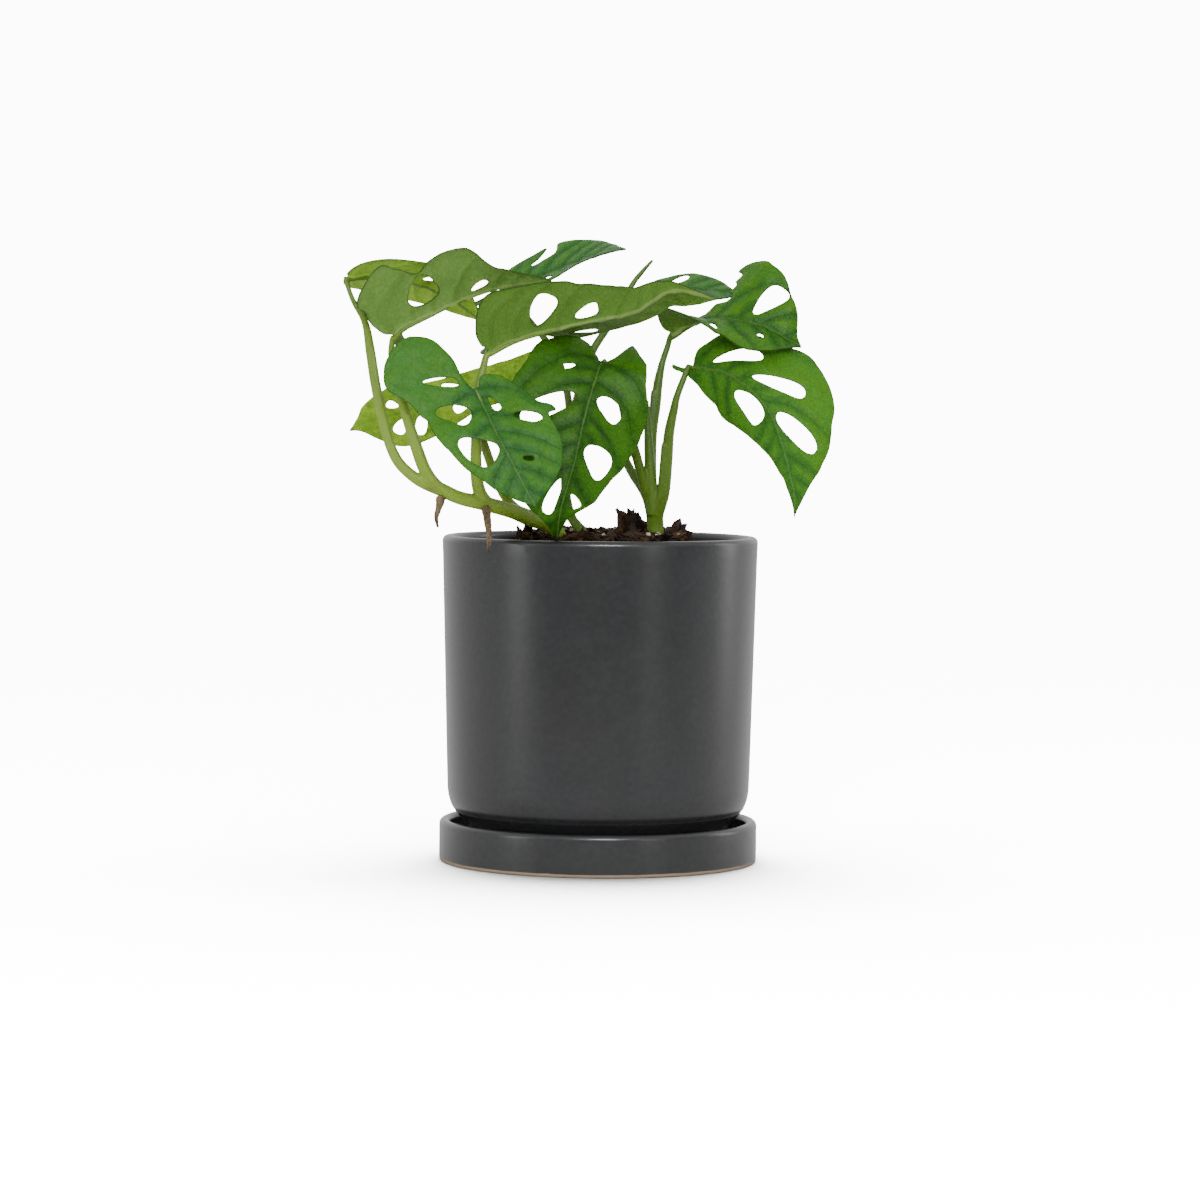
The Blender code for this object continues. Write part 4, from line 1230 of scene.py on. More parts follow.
@dataclass
class Pot:
    """The cylinder pot: a slight taper, a rounded lip and an undercut foot that stands in the saucer."""

    rim: float = 65.0
    top: float = 134.0
    wall: float = 4.5
    waist: float = 62.4
    waist_height: float = 32.0
    shoulder: float = 59.3
    shoulder_height: float = 20.4
    foot: float = 50.0
    foot_width: float = 5.0
    foot_recess: float = 1.5
    undercut: float = 10.5
    base: float = 6.5
    floor: float = 7.0
    drain: float = 6.0
    inner_round: float = 8.0
    floor_taper: float = 1.5
    sides: int = 192

    def profile(self) -> list[tuple[float, float]]:
        """Radius and height of each ring, from the drain over the lip and down to the foot."""
        floor = self.base + self.floor
        inner_top = self.rim - self.wall
        inner_low = self.waist - self.wall
        points = [(self.drain, floor)]
        corner = (inner_low - self.floor_taper - self.inner_round, floor + self.inner_round)
        points += arc(corner, self.inner_round, -90, 0, 6)
        points.append((inner_low, self.waist_height))
        half = self.wall / 2
        points += [(inner_top - 0.1, self.top - 12.0), (inner_top, self.top - 5.0)]
        points += arc((inner_top + half, self.top - half), half, 180, 0, 18)
        for share in (0.92, 0.7, 0.4, 0.1):
            height = self.waist_height + share * (self.top - self.waist_height)
            points.append((self.waist + share * (self.rim - self.waist), height))
        for share in np.linspace(0.0, 1.0, 9)[1:-1]:
            height = self.waist_height + share * (self.shoulder_height - self.waist_height)
            dip = 0.12 * share + 0.88 * share**2.6
            points.append((self.waist + dip * (self.shoulder - self.waist), height))
        points += arc((self.shoulder - 0.9, self.shoulder_height + 0.5), 0.9, -5, -42, 3)
        points += [(self.foot + 1.5, self.undercut + 1.3), (self.foot, self.undercut)]
        points += [(self.foot, self.base + 0.5), (self.foot - 0.5, self.base)]
        inner = self.foot - self.foot_width
        recess = self.base + self.foot_recess
        points += [(inner + 0.5, self.base), (inner, self.base + 0.5), (inner, recess)]
        points += [(self.drain, recess), (self.drain, floor)]
        return points

    def dress(self) -> None:
        """Throws the pot and glazes it."""
        piece = thrown("pot_body", self.profile(), self.sides, True)
        finish(piece, GlazeFinish().build("pot_glaze", False), ["pot"])


@dataclass
class Pile:
    """Copies of shards, laid one by one, that become one piece."""

    name: str
    spots: list = field(default_factory=list)
    faces: list = field(default_factory=list)
    tones: list = field(default_factory=list)

    def lay(self, shard: bpy.types.Mesh, place: Point, box: Point, turn: Point, tone: float) -> None:
        """Lays one copy of a shard.

        Args:
            shard: the mesh to copy.
            place: its middle.
            box: its length, width and thickness.
            turn: its turn, in degrees.
            tone: its paleness.
        """
        spin = Euler([math.radians(angle) for angle in turn]).to_matrix() @ Matrix.Diagonal(box)
        start = len(self.spots)
        self.spots += [tuple((spin @ vertex.co + Vector(place)) * MM) for vertex in shard.vertices]
        self.faces += [tuple(start + i for i in face.vertices) for face in shard.polygons]
        self.tones += [tone] * len(shard.vertices)

    def dress(self, material: bpy.types.Material) -> None:
        """Makes one piece of all copies and sets it on the frame, with no node of its own."""
        mesh = bpy.data.meshes.new(self.name)
        mesh.from_pydata(self.spots, [], self.faces)
        keep_marks(mesh, {"tone": np.array(self.tones)})
        finish(added(self.name, mesh), material, [])


@dataclass
class SoilBed:
    """The nursery root ball on its fill, covered in bark chips, crumbs and a little perlite.

    clear: the stems' places, each with the radius that stays free around it.
    clumps: the large pieces of bark, each a place, a size and a turn in degrees.
    tilts: how far a copy may tilt, flat or steep. steep_share: how many of them are steep.
    loose: how far above its place a copy may lie. splinters: how many make up a clump.
    """

    centre: tuple[float, float] = (1.0, -1.0)
    radius: float = 37.0
    top: float = 133.0
    side: float = 121.0
    fill: float = 116.0
    wall: float = 59.9
    floor: float = 14.0
    chips: int = 420
    crumbs: int = 900
    grains: int = 46
    seed: int = 23
    clear: tuple = (((-17.0, -21.0), 3.4), ((22.4, -6.0), 4.0), ((-7.2, -14.0), 2.4))
    clumps: tuple = ()
    tilts: tuple[float, float] = (22.0, 50.0)
    steep_share: float = 0.2
    loose: float = 1.2
    splinters: int = 9

    def ground(self) -> bpy.types.Object:
        """Turns the fill and the root ball and roughens their surface.

        Returns:
            The ground.
        """
        base = [(self.radius + 12.0, self.floor), (self.wall - 3.0, self.floor + 4.0)]
        base += [(self.wall - 2.4, 32.0), (self.wall - 0.6, self.fill - 2.0)]
        base += [(self.wall - 3.0, self.fill)]
        ring = [(share, self.fill + 0.6) for share in np.linspace(self.wall - 6.0, self.radius + 4.0, 8)]
        slope = [(self.radius + 1.2, self.side - 1.0), (self.radius, self.side + 3.0)]
        slope += [(self.radius, self.side + 8.0), (self.radius * 0.94, self.top - 2.5)]
        crown = [(self.radius * share, self.top) for share in np.linspace(0.86, 0.04, 22)]
        ground = thrown("soil_ground", base + ring + slope + crown, 128, False)
        for vertex in ground.data.vertices:
            spot = vertex.co / MM
            reach = math.hypot(spot.x, spot.y)
            if spot.z < self.fill - 1.0 or reach > self.wall - 2.0:
                continue
            lump = noise.fractal(spot / 7.0, 1.0, 2.0, 4)
            vertex.co.z += 1.4 * lump * MM
            if 1.0 < reach < self.radius + 2.0:
                vertex.co.x += (self.centre[0] + lump * spot.x / reach) * MM
                vertex.co.y += (self.centre[1] + lump * spot.y / reach) * MM
        keep_marks(ground.data, {"tone": np.full(len(ground.data.vertices), 0.1)})
        return ground

    def shard(self, number: int, draw: random.Random, ragged: float, cuts: int) -> bpy.types.Mesh:
        """Breaks a cube into a ragged shard one millimetre long.

        Args:
            number: the shard's number.
            draw: the seeded source of chance.
            ragged: how far its corners move.
            cuts: how often its faces are cut.

        Returns:
            Its mesh, for copying.
        """
        deselect_all()
        bpy.ops.mesh.primitive_cube_add(size=1.0)
        piece = bpy.context.object
        bpy.ops.object.mode_set(mode="EDIT")
        bpy.ops.mesh.subdivide(number_cuts=cuts)
        bpy.ops.object.mode_set(mode="OBJECT")
        for vertex in piece.data.vertices:
            torn = 1.0 + (ragged if abs(vertex.co.x) > 0.45 else ragged * 0.5) * draw.uniform(-1, 1)
            vertex.co = Vector((vertex.co.x * torn, vertex.co.y * torn, vertex.co.z * torn))
            vertex.co += Vector([draw.uniform(-ragged, ragged) * 0.25 for _ in range(3)])
        mesh = piece.data.copy()
        mesh.name = f"shard_{number}"
        bpy.data.objects.remove(piece)
        return mesh

    def clear_of_stems(self, x: float, y: float, reach: float) -> bool:
        """Whether a place is far enough from every stem."""
        return all(math.dist((x, y), spot) > size + reach for spot, size in self.clear)

    def height(self, x: float, y: float) -> float:
        """The ground's height at a place, in millimetres."""
        reach = math.dist((x, y), self.centre)
        if reach > self.radius + 1.0:
            return self.fill + 0.6
        return self.top - (2.5 if reach > self.radius * 0.93 else 0.0)

    def scatter(
        self, name: str, count: int, length: tuple, shape: tuple, tones: tuple, lift: float,
        spread: float, shards: list, draw: random.Random,
    ) -> Pile:
        """Scatters copies of the shards over the ground.

        Args:
            name: the piece's name.
            count: how many.
            length: the least and largest length, in millimetres.
            shape: width and thickness against the length.
            tones: the least and largest paleness.
            lift: how far a middle stands above the ground, against the thickness.
            spread: how far out the copies lie, against the ball's radius.
            shards: the meshes to copy.
            draw: the seeded source of chance.

        Returns:
            All copies.
        """
        pile = Pile(name)
        made = 0
        while made < count:
            reach = self.radius * spread * math.sqrt(draw.random())
            angle = draw.uniform(0.0, 2 * math.pi)
            x, y = self.centre[0] + reach * math.cos(angle), self.centre[1] + reach * math.sin(angle)
            size = draw.uniform(*length)
            if not self.clear_of_stems(x, y, size * 0.45):
                continue
            if math.hypot(x, y) + size * 0.6 > self.wall - 1.5:
                continue
            width, thickness = (size * share * draw.uniform(0.7, 1.3) for share in shape)
            tilt = self.tilts[draw.random() < self.steep_share]
            turn = (draw.uniform(-tilt, tilt), draw.uniform(-tilt, tilt), draw.uniform(0, 360))
            place = (x, y, self.height(x, y) + thickness * lift + draw.uniform(0.0, self.loose))
            shard = draw.choice(shards)
            pile.lay(shard, place, (size, width, thickness), turn, draw.uniform(*tones))
            made += 1
        return pile

    def heap(self, shards: list, draw: random.Random) -> Pile:
        """Stacks the large clumps, each of several torn splinters.

        Args:
            shards: the meshes to copy.
            draw: the seeded source of chance.

        Returns:
            The clumps.
        """
        pile = Pile("bark_clumps")
        for place, size, turn in self.clumps:
            for _ in range(self.splinters):
                near = [place[i] + draw.uniform(-0.28, 0.28) * size[i] for i in range(3)]
                box = [size[i] * draw.uniform(0.35, 0.75) for i in range(3)]
                spin = [angle + draw.uniform(-35, 35) for angle in turn]
                pile.lay(draw.choice(shards), near, box, spin, draw.uniform(0.0, 0.75))
        return pile

    def dress(self) -> None:
        """Builds the ground and all that lies on it."""
        draw = random.Random(self.seed)
        look = SoilFinish().build("potting_mix")
        chunky = [self.shard(i, draw, 0.5, 2) for i in range(6)]
        small = [self.shard(6 + i, draw, 0.45, 1) for i in range(4)]
        finish(self.ground(), look, ["soil"])
        grit = GritFinish().build("perlite_grit")
        kinds = (
            (look, "bark_chips", self.chips, (2.5, 7.0), (0.5, 0.32), (0.0, 0.9), 0.25, 0.95, chunky),
            (look, "soil_crumbs", self.crumbs, (0.7, 2.0), (0.8, 0.7), (0.0, 0.8), 0.5, 1.4, small),
            (grit, "perlite", self.grains, (0.7, 1.5), (0.9, 0.8), (0.5, 1.0), 1.6, 0.95, small),
        )
        for material, *kind in kinds:
            self.scatter(*kind, draw).dress(material)
        self.heap(chunky, draw).dress(look)


@dataclass
class Studio:
    """The pale floor, the soft lights and the camera at the photograph's angle.

    sky: the surroundings' full strength.
    dim: its share behind the camera, which keeps the glaze dark in the middle.
    rear, above: its further share behind the plant and overhead.
    dim_from, dim_to: the depths between which the share behind the plant grows.
    floor_size, floor_drop: the floor's side and how far below the saucer it lies.
    """

    camera_place: Point = (0.0001, -1.633, 0.1947)
    pitch: float = 3.06
    roll: float = 0.5
    lens: float = 118.9
    sky: float = 2.2
    dim: float = 0.33
    rear: float = 0.52
    above: float = 0.42
    dim_from: float = -0.8
    dim_to: float = 0.9
    floor_size: float = 40.0
    floor_drop: float = 0.0002

    def floor(self) -> None:
        """Lays the floor."""
        deselect_all()
        low = (0.0, 0.0, -self.floor_drop)
        bpy.ops.mesh.primitive_plane_add(size=self.floor_size, location=low)
        plane = bpy.context.object
        plane.name = "studio_floor"
        bpy.ops.object.transform_apply(location=True, rotation=True, scale=True)
        plane.data.materials.append(FloorFinish().build("studio_floor_paint"))

    def lamp(
        self, name: str, place: Point, aim: Point, size: tuple[float, float], power: float,
        shines: bool = True, fills: bool = True,
    ) -> None:
        """Hangs one soft rectangular light.

        Args:
            name: its name.
            place: where it hangs.
            aim: what it points at.
            size: its width and height.
            power: its power, in watts.
            shines: whether glossy surfaces mirror it.
            fills: whether it lights matt surfaces.
        """
        light = bpy.data.lights.new(name, "AREA")
        light.shape = "RECTANGLE"
        light.size, light.size_y = size
        light.energy = power
        made = added(name, light)
        made.location = place
        made.visible_glossy = shines
        made.visible_diffuse = fills
        made.rotation_euler = (Vector(aim) - Vector(place)).to_track_quat("-Z", "Y").to_euler()

    def light(self) -> None:
        """Hangs the lights and sets the even white surroundings."""
        self.lamp("light_lip", (0.1, -1.15, 0.87), (0.0, 0.0, 0.15), (0.35, 0.12), 18.0, fills=False)
        self.lamp("light_fill", (0.0, -1.7, 0.5), (0.0, 0.0, 0.2), (1.0, 0.8), 27.0, shines=False)
        self.lamp("light_left", (-1.3, -0.75, 0.36), (0.0, 0.0, 0.26), (0.35, 0.98), 7.0)
        self.lamp("light_strip", (0.95, -1.26, 0.4), (0.0, 0.0, 0.3), (0.2, 1.0), 3.4)
        self.lamp("light_right", (1.44, 0.41, 0.5), (0.0, 0.0, 0.4), (0.35, 0.98), 5.0)
        graph = Graph("studio", world=True)
        behind = graph.along(1).fade(self.dim_from, self.dim_to) * self.rear
        lit = behind.most(graph.along(2).fade(0.2, 0.6) * self.above)
        power = self.sky * (self.dim + (1.0 - self.dim) * lit)
        graph.feed(graph.shader, {0: WHITE, 1: power})
        bright = graph.node("Background", {0: WHITE, 1: BACKDROP})
        graph.seen(graph.shader, bright)
        bpy.context.scene.world = graph.material

    def camera(self) -> None:
        """Sets the camera."""
        lens = bpy.data.cameras.new("camera")
        lens.lens = self.lens
        lens.sensor_width = 36.0
        made = added("camera", lens)
        made.location = self.camera_place
        tilt = Matrix.Rotation(math.radians(90.0 - self.pitch), 4, "X")
        made.rotation_euler = (tilt @ Matrix.Rotation(math.radians(self.roll), 4, "Z")).to_euler()
        bpy.context.scene.camera = made

    def build(self) -> None:
        """Sets the whole stage."""
        self.camera()
        self.floor()
        self.light()


# How the leaves look, from fresh green to washed out and ageing; the two yellow-green finishes at the
# end are partly painted light
FRESH = LeafFinish(warm_sun_share=0.75)
BRIGHT = LeafFinish(light=(0.046, 0.152, 0.010), dark=(0.017, 0.078, 0.009), warm_sun_share=0.5)
BLUISH = LeafFinish(light=(0.035, 0.128, 0.014), dark=(0.011, 0.060, 0.010), warm_sun_share=0.4)
PALE = LeafFinish(warm_sun_share=0.6)
THIN = LeafFinish(under=(0.104, 0.196, 0.040), under_dark=(0.056, 0.122, 0.016), warm_sun_share=0.7)
DEEP = LeafFinish(light=(0.025, 0.094, 0.003), dark=(0.006, 0.036, 0.002), warm=(0.044, 0.120, 0.002))
# Partly the leaf's own yellower green, partly painted light: its colours are raised far above the
# others' to stand in for the light that passes through it while its neighbours shade it
FAR_WITH_PAINTED_LIGHT = LeafFinish(
    light=(0.240, 0.390, 0.030), dark=(0.150, 0.270, 0.015), under=(0.280, 0.480, 0.045),
    under_dark=(0.190, 0.350, 0.025), warm_sun_share=0.5,
)
# Partly the leaf's own yellow-green, partly painted light: its colours are raised far above the others'
# to make up for the shade it lies in
YELLOWISH_WITH_PAINTED_LIGHT = LeafFinish(
    light=(0.230, 0.380, 0.022), dark=(0.120, 0.245, 0.010), under=(0.210, 0.320, 0.016),
    under_dark=(0.115, 0.210, 0.006), warm_sun_share=0.8,
)

# The stems at the back and at the right, greener than the leaning one
GREEN_STEM = StemFinish(pale=(0.062, 0.118, 0.010), green=(0.032, 0.088, 0.004))

LEAVES = (
    # The large leaf at the front right, hanging with both halves folded down.
    LeafBlade(
        name="leaf_front_right",
        rib=(
            (36, -12, 204.5), (52, -20, 201), (65.5, -30, 189), (72, -36, 175), (77.5, -40, 154.5),
            (78, -40, 143),
        ),
        face=((-0.2, -0.75, 0.65), (0, -0.9, 0.45), (0.3, -1, 0.1)),
        rise_left=(-8, -12, -10),
        rise_right=(-45, -50, -35),
        left=(
            (0, 5), (-1, 11), (3, 19), (8, 23), (14, 24), (22, 27), (31, 31), (42, 30), (54, 25),
            (62, 21), (71, 14), (77, 8), (83, 3),
        ),
        right=(
            (-4, 1.6), (-8, 1.2), (-7.5, 3.2), (-2, 4.5), (2.5, 7), (8, 12), (16, 16), (25, 18),
            (34, 17.5), (49, 14), (59, 8.5), (70, 4.5), (80, 2),
        ),
        holes=(
            Hole(Half.LEFT, 15, 11, 17, 6, 47), Hole(Half.LEFT, 34, 12, 20, 6.5, 39),
            Hole(Half.LEFT, 54, 8, 22, 8, 32), Hole(Half.RIGHT, 34, 6, 19, 9, 5),
        ),
        look=BRIGHT,
        half_width=26,
    ),
    # The leaf that hangs over the soil in the middle, its tip just above the rim.
    LeafBlade(
        name="leaf_front_centre",
        rib=(
            (0.5, -36, 206), (-1.5, -43, 201.5), (-6.5, -54, 183.5), (-10.5, -61, 164.5),
            (-15.5, -63, 147.5), (-17.3, -54.5, 134.5),
        ),
        face=((0.1, -0.8, 0.6), (0.15, -0.98, 0.2), (0.1, -1, 0.05)),
        rise_left=(15, -20, -25, -10),
        rise_right=(5, -5, -8, 0),
        left=(
            (-1, 2.5), (-4, 4), (-9, 6.2), (-14.8, 8.4), (-11.5, 11), (-6, 14.5), (2, 18.5), (14, 22),
            (22, 25), (32, 25.5), (43, 23), (53, 18), (69, 10), (77, 3),
        ),
        right=(
            (-4, 4), (-9, 9), (-10, 15), (-6, 20), (4, 26), (14, 29), (24, 32), (36, 32.5), (46, 30.5),
            (55, 27), (63, 22), (70, 15), (76, 7),
        ),
        holes=(
            Hole(Half.LEFT, 23, 9, 13, 7, 62), Hole(Half.LEFT, 46, 10, 13, 12, 60),
            Hole(Half.LEFT, 66, 5, 7, 5, 40), Hole(Half.RIGHT, 10, 12, 6, 2.2, 63),
            Hole(Half.RIGHT, 29, 15, 25, 8, 54), Hole(Half.RIGHT, 66, 4.5, 15, 4.5, 10),
        ),
        look=DEEP,
        half_width=28,
    ),
    # The bluish leaf before the stems at the left, with one lobe curled up and back.
    LeafBlade(
        name="leaf_front_left",
        rib=(
            (-50.3, -62, 195.2), (-47, -64.5, 188.5), (-43.5, -69.5, 181.5), (-36.5, -76, 168.5),
            (-25.5, -80, 148),
        ),
        face=((0, -0.75, 0.65), (0.1, -0.9, 0.45), (0.1, -0.95, 0.3)),
        rise_left=(-5, -5, -5, -5),
        rise_right=(0, 0, -5, -5),
        left=(
            (-3, 5), (-1, 12), (6, 17), (12, 22), (20, 27), (21, 23.5), (29, 23), (38, 22.5), (47, 17),
            (53, 8),
        ),
        right=(
            (-6, 3), (-16, 4), (-25, 8), (-29, 15), (-26, 24), (-19, 31), (-12, 33), (-3, 28), (6, 24),
            (19, 22), (28, 19), (36, 15), (44, 10.5), (50, 6),
        ),
        holes=(
            Hole(Half.RIGHT, -6.4, 11.6, 14, 3.8, -70), Hole(Half.RIGHT, 8.5, 12.5, 14, 9, -50),
            Hole(Half.RIGHT, 27, 10, 15, 11, -42), Hole(Half.LEFT, 9.4, 4.5, 7, 3.2, 18),
            Hole(Half.LEFT, 19.6, 15, 11, 5, 57), Hole(Half.LEFT, 38, 7, 4.5, 2.2, 59),
        ),
        look=BLUISH,
        half_width=28,
    ),
    # The longest leaf, rolled so that its near half shows its underside.
    LeafBlade(
        name="leaf_centre_long",
        rib=(
            (-46, -48, 208.5), (-35.5, -46, 214), (-24, -43, 217.5), (-5, -38, 222), (13, -34, 226),
            (28, -30, 234.5), (47, -26, 231.5),
        ),
        face=((0, 0.4, 0.92), (0, 0.4, 0.92), (0, 0.5, 0.87), (0, 0.7, 0.7)),
        rise_left=(32, 31, 8, 8, 0, -5),
        rise_right=(38, 38, 34, 30, 20),
        left=(
            (-1, 5), (0, 13), (6, 21), (16, 25), (30, 24), (44, 20), (56, 15), (66, 12), (78, 11),
            (90, 8), (97, 3),
        ),
        right=(
            (-1, 5), (-1, 11), (2, 17), (6, 22), (10, 24), (18, 22.5), (32, 21), (45, 17), (60, 12.5),
            (73, 8), (80, 4.5), (90, 1.5),
        ),
        holes=(
            Hole(Half.RIGHT, 25, 10, 14, 9.5, 53), Hole(Half.RIGHT, 43.5, 4.5, 10, 5.5, 10),
            Hole(Half.LEFT, 45, 12, 10, 4.5, 15),
        ),
        look=PALE,
        half_width=24,
    ),
    # The pale leaf at the upper left, its near half raised and its margin humped.
    LeafBlade(
        name="leaf_upper_left",
        rib=(
            (-83.5, -50.5, 213.9), (-79.5, -50, 218.5), (-68.5, -48.5, 224), (-57, -46, 229.5),
            (-41, -42, 235), (-20.5, -38, 238),
        ),
        face=((0, 0.5, 0.87), (0, 0.45, 0.9), (0, 0.3, 0.95)),
        rise_left=(32, 31, 26, 15),
        rise_right=(35, 35, 25),
        left=((-1, 5), (0, 13), (5, 21), (14, 25), (25, 24), (36, 19), (47, 13), (58, 7), (66, 2.5)),
        right=(
            (-1, 4), (-1, 10), (1.5, 17), (4.5, 23), (8.5, 27.5), (13, 24), (19, 19), (25, 21.5),
            (31, 23), (37, 22), (40, 20), (44, 14), (48, 10), (56, 6.5), (65, 3),
        ),
        holes=(Hole(Half.RIGHT, 18.5, 10.5, 13, 11, 20), Hole(Half.RIGHT, 40.5, 3.5, 7, 3, 20)),
        look=THIN,
        half_width=26,
    ),
    # The upper right leaf, its far half raised behind the rib.
    LeafBlade(
        name="leaf_upper_right",
        rib=(
            (28.5, 4, 217), (35.5, 0, 221.5), (43.5, -4, 224), (55, -6, 223.5), (66.5, -8, 220.5),
            (74.5, -10, 216.5), (81.5, -12, 212.5),
        ),
        face=((0, -0.2, 0.98), (0, -0.35, 0.94), (0, -0.4, 0.92), (0.1, -0.4, 0.9)),
        rise_left=(0, 0, 15, 45, 45, 20),
        rise_right=(70, 35, 0, -5, -5, 0),
        left=(
            (-1, 5), (1, 11), (8, 15), (17, 13), (24.5, 12), (26.2, 15), (24.6, 18), (26.6, 20.5),
            (26, 23.5), (28, 25.5), (26.4, 29.5), (30, 30.5), (36, 28), (42, 23.5), (46, 17), (51, 12),
            (56, 4),
        ),
        right=((-1, 5), (3, 12), (9, 17), (16, 16), (25, 17), (33, 20), (40, 21), (48, 18), (54, 10)),
        holes=(
            Hole(Half.LEFT, 40, 11.5, 15, 7, 67), Hole(Half.RIGHT, 22.5, 10.5, 5, 2.5, 84),
            Hole(Half.RIGHT, 43, 7, 4, 3, 37),
        ),
        look=FRESH,
        half_width=24,
    ),
    # The yellowish leaf low at the back, pointing left.
    LeafBlade(
        name="leaf_low_back",
        rib=(
            (-17.5, 26, 201.5), (-34, 23, 198), (-51, 19, 194.5), (-67, 14, 189), (-83, 9, 184),
            (-97, 5, 180), (-104, 4, 176.5),
        ),
        face=((0.1, -0.8, 0.6), (0, -0.85, 0.5), (-0.1, -0.9, 0.4)),
        rise_left=(0, 0, 0),
        rise_right=(0, -10, 0),
        left=(
            (-2, 4), (0, 7), (10, 8), (25, 9), (38, 10), (50, 12.5), (60, 15), (70, 16), (78, 13),
            (84, 8), (90, 2),
        ),
        right=(
            (-2, 4), (-3, 9), (2, 13), (12, 13), (22, 11.5), (32, 10.5), (45, 11), (58, 12.5),
            (68, 13.5), (76, 12), (84, 8), (90, 2),
        ),
        holes=(
            Hole(Half.RIGHT, 72, 5, 5, 4, 40), Hole(Half.LEFT, 72, 6, 8, 5, 50),
            Hole(Half.LEFT, 64, 8, 9, 5, 60), Hole(Half.LEFT, 44, 5, 11, 4.5, 15),
            Hole(Half.RIGHT, 45, 5.5, 8, 4, 25),
        ),
        look=YELLOWISH_WITH_PAINTED_LIGHT,
        half_width=18,
    ),
    # The highest leaf, with a slit that leaves a pointed finger on its far half.
    LeafBlade(
        name="leaf_top_back",
        rib=((-42, 46, 234.5), (-28, 41, 241), (-13, 35, 247), (-1, 27, 251.5), (9.5, 18, 253)),
        face=((0, -0.5, 0.85), (0, -0.55, 0.83), (0, -0.5, 0.85)),
        rise_left=(10, 5, 0),
        rise_right=(30, 16, 14, 5),
        left=(
            (-3, 5), (-3, 11), (2, 14.5), (8, 16.5), (15, 18.5), (20, 19), (16.5, 14.5), (13.5, 11),
            (18.5, 11), (24, 13.5), (25, 19.5), (30, 19), (40, 15), (51, 7.5),
        ),
        right=((-6, 3), (-12, 6), (-13, 12), (-7, 17), (3, 19), (14, 18), (26, 15), (38, 12), (50, 6)),
        holes=(Hole(Half.RIGHT, 22, 7, 9, 5, 40),),
        look=BLUISH,
        half_width=20,
    ),
    # The small leaf behind the long leaf's tip.
    LeafBlade(
        name="leaf_right_back",
        rib=((18.5, 30, 237), (28, 24, 237), (40.5, 18, 236), (56, 12, 234)),
        face=((0, -0.3, 0.95), (0, -0.3, 0.95)),
        rise_left=(14, 12),
        rise_right=(0, 0),
        left=((-1, 3), (0, 7), (5, 11), (12, 13.5), (20, 13.5), (30, 10.5), (38, 5)),
        right=((-1, 3), (0, 8), (5, 13), (12, 16), (20, 16), (30, 12), (38, 6)),
        holes=(Hole(Half.LEFT, 12, 8, 9, 5, 50),),
        look=BLUISH,
        half_width=18,
    ),
    # The yellowish leaf at the far left, behind the upper left one.
    LeafBlade(
        name="leaf_far_left",
        rib=((-103.5, -34, 239), (-91, -30, 239.5), (-74, -22, 236.5), (-60, -12, 230), (-49, -4, 222)),
        face=((0, 0.3, 0.95), (0, 0.35, 0.95), (0, 0.35, 0.95)),
        rise_left=(0, 0, 0),
        rise_right=(5, 5, 0),
        left=((0, 3), (1, 8), (6, 14), (16, 18), (30, 18), (42, 14), (54, 8), (62, 3)),
        right=((0, 3), (1, 8), (6, 14), (16, 18), (30, 18), (42, 14), (54, 8), (62, 3)),
        holes=(Hole(Half.LEFT, 24, 8, 9, 4, 50), Hole(Half.RIGHT, 34, 8, 9, 4, 50)),
        look=FAR_WITH_PAINTED_LIGHT,
        half_width=22,
    ),
)

# The pale stem that leans over the rim to the left, and its four petioles.
VINE = (
    Stalk(
        points=(
            (-16.6, -20.6, 117), (-16.6, -20.6, 127), (-16.9, -20.8, 135), (-22, -26.5, 139.6),
            (-28.5, -33, 142), (-35.5, -40, 145), (-45.5, -49, 148), (-56, -54, 150.5),
            (-62, -56, 153.3), (-66, -56.5, 156),
        ),
        radii=(2.4, 2.6, 2.8, 3.1, 3.2, 2.9, 2.8, 2.6, 2.5, 1.8),
    ),
    Stalk(
        points=(
            (-60, -55.5, 152), (-70.3, -56, 156.4), (-76, -55, 160), (-81, -53, 165),
            (-84.7, -50, 172.5), (-88, -46, 184), (-90.8, -42, 196.3), (-93, -39, 209),
            (-95.3, -37, 220.4), (-100.2, -35.5, 229), (-103.6, -34.1, 238),
        ),
        radii=(2.2, 2.3, 2.1, 2.0, 1.9, 1.9, 1.9, 1.8, 1.3, 0.9, 0.8),
        sheath=0.8,
        side=(0.5, -0.85, 0),
        leaf="leaf_far_left",
    ),
    Stalk(
        points=(
            (-61.5, -56, 152.5), (-67, -57, 157.3), (-70.3, -57.3, 162.4), (-73, -57.3, 169.5),
            (-76.4, -55, 179.4), (-79, -52.5, 187.3), (-81, -51.2, 193.2), (-83, -50.6, 201.2),
            (-84, -50.6, 208.3), (-83.5, -50.4, 214.1),
        ),
        radii=(2.0, 2.3, 2.4, 2.3, 2.0, 1.8, 1.6, 1.4, 1.1, 1.0),
        sheath=0.55,
        side=(0.4, -0.9, 0),
        leaf="leaf_upper_left",
    ),
    Stalk(
        points=(
            (-44, -48, 147.5), (-47.4, -50, 151), (-49, -51, 155.3), (-49.8, -52, 162.5),
            (-49.8, -53, 173.2), (-49.9, -53, 185.6), (-49.2, -52, 194.3), (-47.3, -49.6, 202.3),
            (-45.9, -47.7, 208.6),
        ),
        radii=(2.2, 2.5, 2.4, 2.2, 2.0, 1.8, 1.6, 1.4, 1.1),
        sheath=0.6,
        side=(0.5, -0.85, 0),
        leaf="leaf_centre_long",
    ),
    Stalk(
        points=(
            (-28.4, -33.5, 142), (-35.7, -36.5, 147.4), (-40.5, -38, 154.2), (-44.5, -41, 164.7),
            (-48, -47, 175.5), (-51, -54, 187), (-51.2, -61.1, 194.6),
        ),
        radii=(1.8, 1.8, 1.7, 1.7, 1.6, 1.4, 1.0),
        leaf="leaf_front_left",
    ),
)

